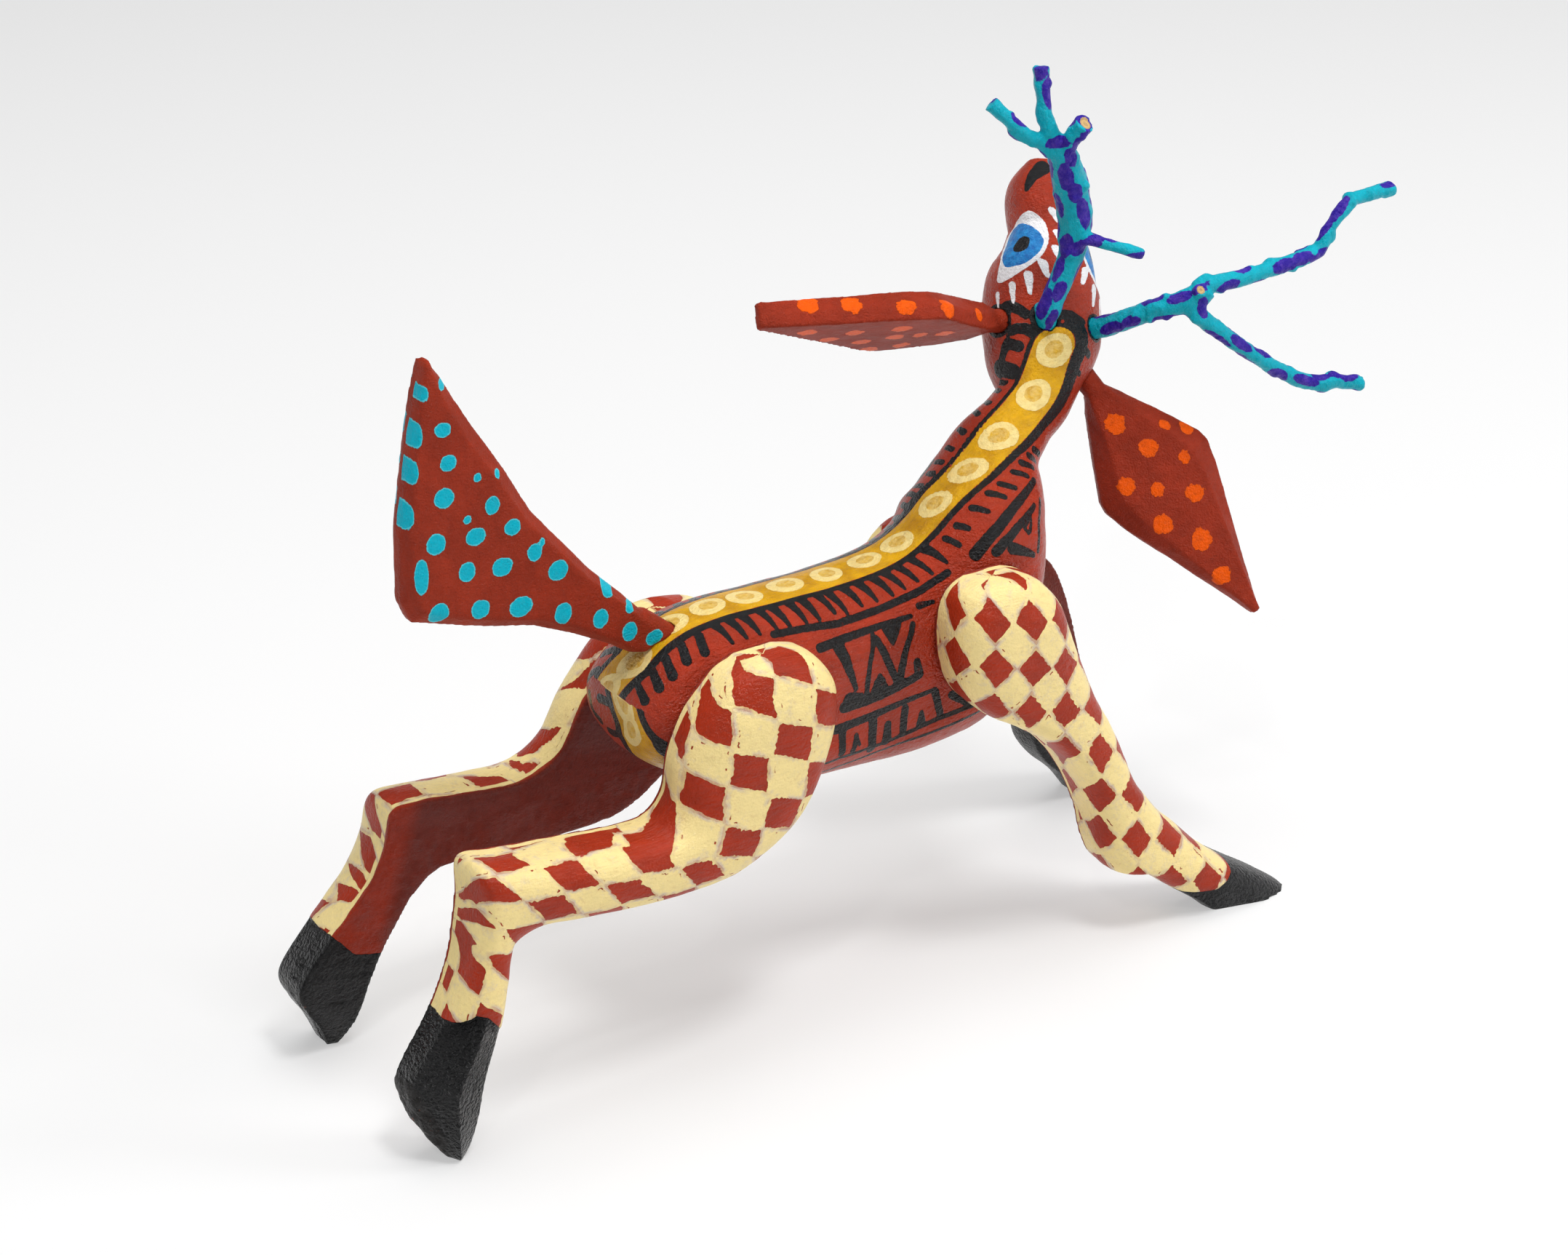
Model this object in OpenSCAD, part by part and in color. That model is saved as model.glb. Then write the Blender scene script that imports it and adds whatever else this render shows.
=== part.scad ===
// Carved and painted wooden deer, leaping, on four hooves.
// One carved trunk (body, neck and head in one), four carved legs held by hidden wire pins,
// and five push-in pieces: two ears, two twig antlers and a tail.
// Units are mm. +X is the way the deer leaps, +Y its left side, +Z up; the hooves stand on z = 0.

/* [Trunk] */
// half width of the trunk at the ribs
trunk_half_w = 20; // [18:0.5:21]
// width of the flats that the legs are pinned to, measured between the two flats
trunk_flat_w = 37; // [36:0.5:38]

/* [Legs] */
// thickness of each leg board across the deer
leg_t = 17; // [15:0.5:18]
// part of the leg thickness that is rounded over on the outer side
leg_dome = 0.62; // [0.4:0.02:0.7]
// how far the right rear hoof stands outwards of its thigh
rear_right_splay = 1.5; // [0:0.5:4]
// how far the left rear hoof stands outwards of its thigh
rear_left_splay = 6; // [4:0.5:8]
// how far the front hooves stand outwards of the shoulders
front_splay = 10; // [6:0.5:11]

/* [Pins] */
// diameter of the hidden wire pins
pin_d = 1.8; // [1.4:0.1:2.4]
// length of each wire pin
pin_len = 22; // [16:1:24]

/* [Pegs] */
// diameter of the ear pegs
ear_peg_d = 6; // [5:0.1:6.4]
// depth of the ear sockets
ear_peg_len = 7.5; // [6:0.5:8]
// diameter of the tail peg
tail_peg_d = 7; // [5.5:0.1:8]
// depth of the tail socket
tail_peg_len = 14; // [10:0.5:16]
// depth of the antler sockets
antler_peg_len = 7; // [5.5:0.5:7.5]
// radial gap round every push-in peg
peg_gap = 0.05; // [0.02:0.01:0.1]
// gap left under the end of every push-in peg
peg_end_gap = 0.8; // [0.4:0.1:1]

/* [Ears, tail and antlers] */
// length of an ear past the head
ear_len = 72; // [62:1:74]
// half width of an ear at its widest
ear_half_w = 16; // [13:0.5:18]
// thickness of an ear
ear_t = 8.4; // [7:0.2:9]
// thickness of the tail
tail_t = 9; // [8:0.5:11]
// diameter of an antler twig above the socket
antler_d = 6.4; // [5:0.1:7]

/* [Smoothness] */
// steps between two stations of a carved loft
steps = 3; // [2:1:4]
// facets round a bore or a peg
round_fn = 48; // [24:8:96]

/* [Hidden] */
red = [0.50, 0.13, 0.10];
cream = [0.93, 0.83, 0.55];
dark = [0.06, 0.06, 0.07];
steel = [0.55, 0.56, 0.58];
aqua = [0.08, 0.62, 0.70];
flat_y = trunk_flat_w / 2;
// moves the drawing so that the middle of the whole figure's footprint is the origin
origin = [-25.95, -3.48, 0];

// Catmull-Rom blend of four equal-length lists of numbers
function blend4(a, b, c, d, t) = 0.5 * ((2 * b) + (c - a) * t
    + (2 * a - 5 * b + 4 * c - d) * t * t
    + (3 * b - a - 3 * c + d) * t * t * t);
function fine(s, n) = let (m = len(s) - 1) concat(
    [for (i = [0 : m - 1], k = [0 : n - 1])
        blend4(s[max(i - 1, 0)], s[i], s[i + 1], s[min(i + 2, m)], k / n)],
    [s[m]]);
function unit(v) = v / norm(v);
function part(v, i) = [v[i], v[i + 1], v[i + 2]];
// signed power, for rounded-square sections
function spow(v, p) = sign(v) * pow(abs(v), p);

// skin over a list of closed rings with the same number of points, capped at both ends
module skin(rings) {
    n = len(rings[0]);
    m = len(rings);
    pts = [for (r = rings, p = r) p];
    sides = [for (i = [0 : m - 2], j = [0 : n - 1])
        let (a = i * n + j, b = i * n + (j + 1) % n, c = b + n, d = a + n)
        each [[a, b, c], [a, c, d]]];
    cap_a = [[for (j = [n - 1 : -1 : 0]) j]];
    cap_b = [[for (j = [0 : n - 1]) (m - 1) * n + j]];
    polyhedron(points = pts, faces = concat(sides, cap_a, cap_b), convexity = 6);
}

// turn the z axis onto the direction v
module point_along(v) {
    u = unit(v);
    rotate([0, acos(u[2]), atan2(u[1], u[0])]) children();
}

// ---------------------------------------------------------------- trunk
// each station: back-line point, belly-line point, half width, squareness above, squareness below
trunk_stations = [
    [-48.8, 0, 86, -48.6, 0, 79.5, 9, 2.3, 2.3],
    [-47.4, 0, 91, -46.2, 0, 74.5, 15, 2.4, 2.4],
    [-42, 0, 97.3, -41, 0, 70, 18.2, 2.4, 2.5],
    [-35, 0, 102, -34.5, 0, 66.5, 19, 2.3, 2.5],
    [-24, 0, 104.5, -24, 0, 61.6, 20, 2.3, 2.6],
    [-8, 0, 104.6, -8, 0, 57.2, 20, 2.3, 2.8],
    [10, 0, 104.6, 12, 0, 55.2, 20, 2.3, 2.8],
    [24, 0, 105.3, 33, 0, 54.6, 20.5, 2.3, 2.8],
    [33, 0.3, 107.5, 52.5, 0, 56.8, 20.5, 2.3, 2.6],
    [40, 0.5, 111.3, 63.4, 0, 66, 20.5, 2.3, 2.5],
    [47, 0.6, 116.5, 67, 2.4, 82, 20.4, 2.4, 2.3],
    [55.4, 0.9, 121.4, 68.8, 8, 98, 17, 2.1, 2.1],
    [65, 2.2, 127, 72.8, 14.6, 112.5, 12, 2, 2],
    [74.4, 4.6, 131.6, 80.8, 18, 119, 9.4, 2, 2],
    [82, 7.4, 135.8, 88.1, 21, 123, 10, 2, 2],
    [88.6, 11, 142.8, 91.8, 28, 129, 13.6, 2.2, 2],
    [92.8, 12.3, 147.7, 94.2, 32.5, 134.5, 15.4, 2.3, 2.2],
    [95, 15.6, 152, 96, 35, 139.5, 15.8, 2.4, 2.2],
    [97.6, 18.9, 157.8, 98, 37.5, 145, 14.9, 2.4, 2.2],
    [100.4, 22.2, 162, 100.8, 39.8, 149.6, 12.9, 2.4, 2.2],
    [102.4, 25, 165.2, 102.7, 41, 154, 11, 2.3, 2.2],
    [104.2, 29.2, 169, 104.8, 43.4, 158.6, 9.2, 2.3, 2.2],
    [104.8, 31.8, 172.9, 105.4, 46, 162.6, 8.6, 2.3, 2.3],
    [106, 35, 176, 106.6, 48.4, 166.6, 8, 2.3, 2.3],
    [108, 38.4, 178.5, 108.4, 49.4, 171, 6.4, 2.2, 2.2],
    [109.6, 41.8, 180.4, 110, 48, 176, 4, 2.1, 2.1],
];
ring_n = 28;
function trunk_ring(s, i) = let (
        a = s[max(i - 1, 0)],
        b = s[min(i + 1, len(s) - 1)],
        along = (part(b, 0) + part(b, 3)) - (part(a, 0) + part(a, 3)),
        top = part(s[i], 0),
        low = part(s[i], 3),
        mid = (top + low) / 2,
        up = (top - low) / 2,
        side = unit(cross(up, along)),
        w = s[i][6] * trunk_half_w / 20)
    [for (k = [0 : ring_n - 1])
        let (t = -360 * k / ring_n, e = sin(t) >= 0 ? s[i][7] : s[i][8])
        mid + side * w * spow(cos(t), 2 / e) + up * spow(sin(t), 2 / e)];

module trunk_blank() {
    s = fine(trunk_stations, steps);
    skin([for (i = [0 : len(s) - 1]) trunk_ring(s, i)]);
}

// ---------------------------------------------------------------- legs
// each station: back x and z, front x and z, start and end of the thickness as parts of leg_t
rear_right_stations = [
    [-28, 101.6, -17, 102, 0, 0.62],
    [-35, 98.6, -10, 99.8, 0, 0.8],
    [-42.5, 90.5, -4.8, 92.5, 0, 0.96],
    [-47.3, 81, -4.6, 83, 0, 1],
    [-49, 72, -8.6, 70, 0, 1],
    [-54, 67, -16.6, 58.6, 0, 1],
    [-62.5, 66.9, -32.6, 50.4, 0, 1],
    [-73, 68.2, -55, 49.4, 0, 1],
    [-84, 69.4, -73, 51, 0, 0.98],
    [-95, 70.8, -86.4, 52.4, 0, 0.96],
    [-102.6, 71.2, -93.6, 50, 0, 0.94],
    [-103.4, 62, -95.4, 46.6, 0, 0.92],
    [-105.6, 50, -96.2, 41.6, 0.01, 0.92],
    [-110, 38.5, -97.4, 35.2, 0.02, 0.94],
    [-114.2, 31, -99.4, 28.8, 0.02, 0.96],
    [-121.4, 20, -103, 19, 0.02, 0.98],
    [-120, 11.5, -105.6, 9, 0.06, 0.95],
    [-117, 5.5, -107.8, 3, 0.14, 0.88],
    [-113.2, -0.5, -109.6, -0.8, 0.3, 0.74],
];
rear_left_stations = [
    [-29, 95, -17, 96, 0, 0.62],
    [-36.5, 90.5, -9, 94, 0, 0.8],
    [-42.5, 82.5, -4, 87.5, 0, 0.96],
    [-48, 75.2, -3.5, 77, 0, 1],
    [-52.6, 67.6, -8, 64.5, 0, 1],
    [-58, 63.2, -18, 55, 0, 1],
    [-64.5, 61.8, -33.5, 45, 0, 1],
    [-72, 62.4, -52, 43.4, 0, 1],
    [-80.5, 63.4, -68, 44, 0, 0.98],
    [-90.5, 64.6, -79.5, 45, 0, 0.97],
    [-98.2, 63.8, -87, 44, 0, 0.97],
    [-100.6, 54, -92, 40.5, 0, 0.97],
    [-104.6, 45.5, -96, 35, 0, 0.98],
    [-111, 38, -98.4, 30.6, 0, 0.98],
    [-115.2, 33, -100.4, 26.6, 0.02, 0.98],
    [-123.6, 21.5, -103.4, 19, 0.02, 0.98],
    [-121, 13.6, -106.2, 10, 0.06, 0.95],
    [-117, 7.4, -108.6, 4.4, 0.14, 0.88],
    [-113.4, -0.5, -110.6, -0.8, 0.3, 0.74],
];
front_right_stations = [
    [38.5, 105, 50, 105, 0, 0.62],
    [33.5, 102.4, 56, 102.4, 0, 0.8],
    [30.6, 95, 61.5, 96, 0, 0.96],
    [31, 85, 65, 87.5, 0, 1],
    [34.5, 76.6, 68.6, 78.5, 0, 1],
    [41, 70, 73, 68.5, 0, 1],
    [50, 64.4, 78, 59, 0, 1],
    [58, 58.6, 82, 49.6, 0, 0.98],
    [64.6, 51, 85, 41.6, 0, 0.95],
    [69, 43, 88.5, 36.4, 0, 0.93],
    [72, 34.5, 92.8, 31, 0, 0.92],
    [73.6, 25.5, 98, 26, 0, 0.92],
    [77.2, 18.8, 104, 19.8, 0, 0.92],
    [85, 17, 111.5, 13.6, 0.02, 0.92],
    [94, 10, 119.5, 8.4, 0.04, 0.9],
    [102.5, 3.8, 127.5, 3.4, 0.06, 0.88],
    [107.5, -0.6, 133, -0.8, 0.1, 0.84],
];
front_left_stations = [
    [44, 94, 50, 99, 0, 0.62],
    [43, 87.5, 57, 100.4, 0, 0.84],
    [45.4, 80.5, 65.2, 98.8, 0, 0.98],
    [52, 74, 73, 95.2, 0, 1],
    [61, 69.4, 81, 90.8, 0, 1],
    [70, 65.5, 89, 86.2, 0, 1],
    [78, 61, 96.4, 80.6, 0, 1],
    [84.4, 54.5, 101, 72.4, 0, 0.98],
    [88.8, 46.5, 104.8, 62.6, 0, 0.95],
    [91.8, 39, 108.4, 52.4, 0, 0.93],
    [93.8, 33.4, 112.4, 42, 0, 0.92],
    [95.4, 28, 117, 32, 0, 0.92],
    [98, 22, 121.4, 23.6, 0, 0.92],
    [103, 15.8, 125.4, 16, 0.02, 0.92],
    [108, 11.4, 128.4, 10, 0.04, 0.9],
    [113, 6.4, 131, 4.6, 0.06, 0.88],
    [118.6, -0.6, 132.6, -0.8, 0.1, 0.84],
];
leg_ring_n = 20;
// height below which a leg starts to lean outwards
splay_from = 66;
function leg_ring(st, splay) = let (
        back = [st[0], 0, st[1]],
        front = [st[2], 0, st[3]],
        out = splay * pow(max(splay_from - (st[1] + st[3]) / 2, 0) / splay_from, 1.3),
        y0 = out + st[4] * leg_t,
        y1 = out + st[5] * leg_t,
        mid = (back + front) / 2,
        half = (front - back) / 2,
        dome = (y1 - y0) * leg_dome,
        m = leg_ring_n - 3)
    concat(
        [mid - half * 0.94 + [0, y0, 0], mid + half * 0.94 + [0, y0, 0]],
        [for (k = [0 : m])
            let (t = 180 * k / m)
            mid + half * spow(cos(t), 0.72)
            + [0, y1 - dome + dome * pow(max(sin(t), 0), 0.72), 0]]);

// a leg with its inner face on y = 0 and its rounded face towards +y, cut flat at the floor
module leg_blank(stations, splay) {
    s = fine(stations, steps);
    difference() {
        skin([for (st = s) leg_ring(st, splay)]);
        translate([-200, -50, -20]) cube([400, 150, 20]);
    }
}

// pin positions, x and z, two to a leg
rear_right_pins = [[-28, 88], [-22, 74]];
rear_left_pins = [[-27, 86], [-20, 73]];
front_right_pins = [[42, 92], [47, 79]];
front_left_pins = [[49, 90], [52, 79]];
pin_in_trunk = pin_len * 0.55;

// two blind pin holes; side is -1 for a right-hand leg and 1 for a left-hand leg
module pin_holes(at, side) {
    for (p = at)
        translate([p[0], side * (flat_y - pin_in_trunk), p[1]])
            rotate([-90 * side, 0, 0])
                cylinder(d = pin_d, h = pin_len, $fn = round_fn);
}

module wire_pin(p, side) {
    color(steel)
        translate(origin)
        translate([p[0], side * (flat_y - pin_in_trunk), p[1]])
            rotate([-90 * side, 0, 0])
                cylinder(d = pin_d, h = pin_len, $fn = round_fn);
}

module leg(stations, at, side, splay) {
    color(cream)
        translate(origin)
        difference() {
            translate([0, side * flat_y, 0])
                mirror([0, side < 0 ? 1 : 0, 0])
                    leg_blank(stations, splay);
            pin_holes(at, side);
        }
}

// ---------------------------------------------------------------- push-in pieces
// where each peg leaves the trunk, and the way it points
ear_left_at = [80.2, 23.2, 148.4];
ear_left_dir = [-0.97, 0.04, 0.205];
ear_right_at = [102, 12.6, 130];
ear_right_dir = [0.37, -0.52, -0.77];
antler_left_at = [88.8, 14.6, 150.3];
antler_left_dir = [-0.36, -0.42, 0.83];
antler_right_at = [103.4, 12.7, 144.9];
antler_right_dir = [0.34, -0.88, 0.32];
tail_at = [-35.5, 0, 101.2];
tail_dir = [-0.77, 0, 0.64];
antler_peg_d = antler_d - 1;

module socket(at, dir, d, depth) {
    translate(at)
        point_along(dir)
            translate([0, 0, -depth - peg_end_gap])
                cylinder(d = d + 2 * peg_gap, h = depth + peg_end_gap + 12, $fn = round_fn);
}

module peg(at, dir, d, depth, out) {
    translate(at)
        point_along(dir)
            translate([0, 0, -depth])
                cylinder(d = d, h = depth + out, $fn = round_fn);
}

// each ear station: distance out, half width, half thickness, width of the bevel
ear_stations = [
    [1.5, 2.7, 2.4, 0.6],
    [6, 5.5, 3.6, 1.8],
    [14, 9.8, 4.2, 4],
    [25, 15.6, 4.2, 5.2],
    [28, 16, 4.2, 5.2],
    [34, 14.4, 4.1, 4.4],
    [50, 8.2, 3.7, 2.6],
    [64, 2.9, 3.4, 1],
    [69, 1.2, 3.2, 0.4],
];
function ear_ring(st, wide, thick) = let (
        x = st[0] * ear_len / 69,
        w = st[1] * wide / 16,
        h = st[2] * thick / 8.4,
        b = st[3])
    [[x, -w, -h * 0.1], [x, b - w, h], [x, w - b, h], [x, w, -h * 0.1], [x, w, -h], [x, -w, -h]];

// across is the way the ear's width lies
module ear(at, dir, across) {
    ux = unit(dir);
    uz = unit(cross(ux, across));
    uy = cross(uz, ux);
    color(red)
        translate(origin)
        union() {
            multmatrix([[ux[0], uy[0], uz[0], at[0]],
                        [ux[1], uy[1], uz[1], at[1]],
                        [ux[2], uy[2], uz[2], at[2]]])
                skin([for (st = ear_stations) ear_ring(st, ear_half_w, ear_t)]);
            peg(at, dir, ear_peg_d, ear_peg_len, 7);
        }
}

module ear_left() {
    ear(ear_left_at, ear_left_dir, [0.05, -0.85, 0.52]);
}

module ear_right() {
    ear(ear_right_at, ear_right_dir, [0.80, -0.24, 0.52]);
}

// each tail station: lower x and z, upper x and z, half thickness at the middle, bevel width
tail_stations = [
    [-41.4, 98.5, -34.8, 103, 3.4, 1],
    [-44.8, 99.4, -38.8, 106.8, 3.8, 1.4],
    [-50, 102.7, -46.2, 114.6, 4.2, 2],
    [-60.5, 108.6, -55, 123.4, 4.5, 2.4],
    [-70, 112.8, -62, 131.6, 4.5, 2.6],
    [-88, 117.4, -70, 141.5, 4.5, 3],
    [-101.6, 121.8, -77.5, 154.6, 4.5, 3.6],
    [-104, 127, -83, 163.4, 4.4, 4],
    [-103.6, 143, -88.5, 172.6, 4.1, 4],
    [-100.6, 161, -91.4, 178, 3.8, 3],
    [-98, 173.6, -93.8, 181.4, 3.4, 1.2],
    [-95.8, 181.8, -94.6, 183.4, 3, 0.3],
];
function tail_ring(st, thick) = let (
        low = [st[0], 0, st[1]],
        top = [st[2], 0, st[3]],
        u = unit(top - low),
        h = [0, st[4] * thick / 9, 0],
        b = st[5])
    [low + h * 0.35, low + u * b + h, top - u * b + h, top + h * 0.35,
     top - h * 0.35, top - u * b - h, low + u * b - h, low - h * 0.35];

module tail() {
    color(red)
        translate(origin)
        union() {
            skin([for (st = tail_stations) tail_ring(st, tail_t)]);
            peg(tail_at, tail_dir, tail_peg_d, tail_peg_len, 8);
        }
}

// each twig point: x, y, z and the radius as a part of half the twig diameter
left_beam = [
    [88.5, 14.1, 151.1, 0.92], [88.5, 12.8, 153.4, 0.96], [90.1, 12, 158.5, 0.94],
    [93.1, 11, 166, 1.02], [93.8, 10.6, 172, 1.2], [94, 10.6, 176, 1.36], [93.2, 10.7, 180, 1.4],
    [90.7, 9.7, 187, 1.38], [88.2, 8.7, 193, 1.2], [86, 8, 197.8, 0.95],
];
left_tine = [
    [88.3, 8.3, 194.2, 0.9], [81.7, 9, 198.6, 0.66], [77.5, 10, 200.4, 0.6],
    [72.9, 12, 205.1, 0.56], [69.5, 14, 208.8, 0.62],
];
left_point = [
    [86.8, 8.1, 195.8, 0.9], [82.8, 8, 201.2, 0.68], [81.5, 9, 208.5, 0.56], [81.3, 10, 217, 0.6],
];
left_stub = [[87.2, 8, 195.5, 0.9], [87, 5, 199, 0.74], [88.1, 1, 204, 0.8]];
left_twig = [
    [93.8, 10, 172, 0.76], [95.4, 6.6, 171.8, 0.58], [100.4, 3, 169.9, 0.44], [105, 0.6, 168.3, 0.52],
    [107, -0.4, 167.6, 0.36],
];
right_beam = [
    [103.7, 11.9, 145.2, 0.88], [104.6, 8.8, 146.6, 0.86], [106, 2.8, 150, 0.82],
    [108.7, -3, 153.4, 0.86], [112.8, -8, 155.8, 0.94], [115.8, -10.6, 157.4, 1.06],
    [118.3, -12, 159.8, 0.8],
];
right_upper = [
    [115.2, -9.8, 157.2, 0.86], [119.4, -11.4, 160.4, 0.74], [127.1, -13, 160.8, 0.68],
    [136.8, -14, 161.7, 0.62], [144.3, -15, 162.9, 0.64], [151.4, -15.2, 164.2, 0.6],
    [155, -15.3, 169.9, 0.52], [159.2, -15.3, 174.4, 0.54], [162.8, -15, 175.6, 0.54],
    [175.4, -14, 175.8, 0.6],
];
right_lower = [
    [114.6, -9.6, 156.4, 0.9], [116, -11.8, 153.2, 0.74], [121.9, -14, 148, 0.66],
    [131.2, -16, 140.7, 0.62], [140.4, -17, 134.6, 0.62], [147.4, -18, 130.8, 0.66],
    [155.6, -20, 129.7, 0.6], [162.7, -22, 128.3, 0.56],
];
right_stub = [[115.4, -9.8, 157.4, 0.7], [114.8, -13.6, 160.6, 0.5]];
twig_n = 12;
function twig_ring(s, i, aside) = let (
        a = s[max(i - 1, 0)],
        b = s[min(i + 1, len(s) - 1)],
        along = unit(part(b, 0) - part(a, 0)),
        u = unit(cross(aside, along)),
        v = cross(along, u),
        r = s[i][3] * antler_d / 2)
    [for (k = [0 : twig_n - 1])
        let (t = -360 * k / twig_n)
        part(s[i], 0) + r * (u * cos(t) + v * sin(t))];

module twig(points, aside) {
    s = fine(points, 2);
    skin([for (i = [0 : len(s) - 1]) twig_ring(s, i, aside)]);
}

module antler_left() {
    color(aqua)
        translate(origin)
        union() {
            peg(antler_left_at, antler_left_dir, antler_peg_d, antler_peg_len, 3);
            twig(left_beam, [1, 0, 0]);
            twig(left_tine, [0, 1, 0]);
            twig(left_point, [0, 1, 0]);
            twig(left_stub, [1, 0, 0]);
            twig(left_twig, [0, 0, 1]);
        }
}

module antler_right() {
    color(aqua)
        translate(origin)
        union() {
            peg(antler_right_at, antler_right_dir, antler_peg_d, antler_peg_len, 3);
            twig(right_beam, [0, 0, 1]);
            twig(right_upper, [0, 1, 0]);
            twig(right_lower, [0, 1, 0]);
            twig(right_stub, [1, 0, 0]);
        }
}

// ---------------------------------------------------------------- trunk with its flats and holes
module leg_flat(x0, x1, z0, z1, side) {
    translate([x0, side > 0 ? flat_y : -flat_y - 20, z0])
        cube([x1 - x0, 20, z1 - z0]);
}

module trunk() {
    color(red)
        translate(origin)
        difference() {
            trunk_blank();
            for (side = [-1, 1]) {
                leg_flat(-60, 80, 40, 112, side);
            }
            pin_holes(rear_right_pins, -1);
            pin_holes(rear_left_pins, 1);
            pin_holes(front_right_pins, -1);
            pin_holes(front_left_pins, 1);
            socket(ear_left_at, ear_left_dir, ear_peg_d, ear_peg_len);
            socket(ear_right_at, ear_right_dir, ear_peg_d, ear_peg_len);
            socket(antler_left_at, antler_left_dir, antler_peg_d, antler_peg_len);
            socket(antler_right_at, antler_right_dir, antler_peg_d, antler_peg_len);
            socket(tail_at, tail_dir, tail_peg_d, tail_peg_len);
        }
}

module leg_rear_right() {
    leg(rear_right_stations, rear_right_pins, -1, rear_right_splay);
}

module leg_rear_left() {
    leg(rear_left_stations, rear_left_pins, 1, rear_left_splay);
}

module leg_front_right() {
    leg(front_right_stations, front_right_pins, -1, front_splay);
}

module leg_front_left() {
    leg(front_left_stations, front_left_pins, 1, front_splay);
}

module pin_rear_right_a() {
    wire_pin(rear_right_pins[0], -1);
}

module pin_rear_right_b() {
    wire_pin(rear_right_pins[1], -1);
}

module pin_rear_left_a() {
    wire_pin(rear_left_pins[0], 1);
}

module pin_rear_left_b() {
    wire_pin(rear_left_pins[1], 1);
}

module pin_front_right_a() {
    wire_pin(front_right_pins[0], -1);
}

module pin_front_right_b() {
    wire_pin(front_right_pins[1], -1);
}

module pin_front_left_a() {
    wire_pin(front_left_pins[0], 1);
}

module pin_front_left_b() {
    wire_pin(front_left_pins[1], 1);
}

trunk();
leg_rear_right();
leg_rear_left();
leg_front_right();
leg_front_left();
pin_rear_right_a();
pin_rear_right_b();
pin_rear_left_a();
pin_rear_left_b();
pin_front_right_a();
pin_front_right_b();
pin_front_left_a();
pin_front_left_b();
ear_left();
ear_right();
antler_left();
antler_right();
tail();
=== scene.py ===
# Carved and painted wooden deer: looks. Lengths are mm in the drawing frame of part.scad until a mesh is
# written in metres.
import math

import bpy
import bmesh
import numpy as np
from mathutils import Matrix, Vector
from mathutils.bvhtree import BVHTree


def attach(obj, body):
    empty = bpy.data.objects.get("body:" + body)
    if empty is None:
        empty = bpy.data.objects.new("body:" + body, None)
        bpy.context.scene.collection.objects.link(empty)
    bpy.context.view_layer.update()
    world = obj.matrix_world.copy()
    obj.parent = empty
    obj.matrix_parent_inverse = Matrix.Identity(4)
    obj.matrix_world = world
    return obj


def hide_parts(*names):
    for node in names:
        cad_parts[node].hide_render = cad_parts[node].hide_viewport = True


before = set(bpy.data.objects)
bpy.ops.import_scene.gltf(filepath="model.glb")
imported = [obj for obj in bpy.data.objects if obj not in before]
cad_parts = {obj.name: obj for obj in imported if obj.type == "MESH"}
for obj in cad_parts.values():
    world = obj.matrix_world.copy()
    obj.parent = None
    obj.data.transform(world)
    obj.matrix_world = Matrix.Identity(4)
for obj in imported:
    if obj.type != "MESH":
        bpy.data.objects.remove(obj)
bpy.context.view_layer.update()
scene = bpy.context.scene

ORIGIN = np.array([-25.95, -3.48, 0.0])  # the drawing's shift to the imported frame
FLAT_Y = 18.5  # the flat flank of the trunk, where a leg's inner face lies
LEG_T = 17.0  # thickness of a leg
LEG_DOME = 0.62  # share of it that the rounded outer face takes up
LEG_EDGE = 0.72  # power of the curve that rounds the outer face
SPLAY_FROM = 66.0  # height below which a leg leans outwards
# where the pegs of the ears and antlers meet the head
SOCKETS = {
    "ear_left": (80.2, 23.2, 148.4), "ear_right": (102, 12.6, 130),
    "antler_left": (88.8, 14.6, 150.3), "antler_right": (103.4, 12.7, 144.9),
}

# ------------------------------------------------------------------ camera, floor and light
def to_world(p):
    """A place in the drawing frame, in the scene's metres."""
    return Vector([(p[i] + ORIGIN[i]) / 1000 for i in range(3)])


def add_camera():
    """The photograph's viewing angle, with the place aimed at in the middle of the picture."""
    azimuth, elevation, distance = math.radians(-34), math.radians(25), 0.893
    right = Vector((math.cos(azimuth), math.sin(azimuth), 0))
    flat = math.cos(elevation)
    back = Vector((math.sin(azimuth) * flat, -math.cos(azimuth) * flat, math.sin(elevation)))
    up = back.cross(right)
    aim = to_world((0, 0, 93.5))
    data = bpy.data.cameras.new("camera")
    data.sensor_width, data.lens = 36, 85
    data.clip_start, data.clip_end = 0.01, 20
    cam = bpy.data.objects.new("camera", data)
    axes = Matrix((right, up, back)).transposed()
    cam.matrix_world = Matrix.Translation(aim + back * distance) @ axes.to_4x4()
    scene.collection.objects.link(cam)
    scene.camera = cam


add_camera()


def add_floor():
    """Pale paper that gives off some light itself, so that the shadows on it stay pale."""
    me = bpy.data.meshes.new("floor")
    r = 6.0  # metres from the middle to each side
    me.from_pydata([(-r, -r, 0), (r, -r, 0), (r, r, 0), (-r, r, 0)], [], [(0, 1, 2, 3)])
    ob = bpy.data.objects.new("floor", me)
    scene.collection.objects.link(ob)
    m = bpy.data.materials.new("paper")
    m.use_nodes = True
    b = m.node_tree.nodes["Principled BSDF"]
    b.inputs["Base Color"].default_value = (0.50, 0.50, 0.50, 1)
    b.inputs["Emission Color"].default_value = (1.0, 1.0, 1.0, 1)
    b.inputs["Emission Strength"].default_value = 0.43
    b.inputs["Roughness"].default_value = 0.75
    b.inputs["Specular IOR Level"].default_value = 0.25
    me.materials.append(m)


add_floor()


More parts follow.
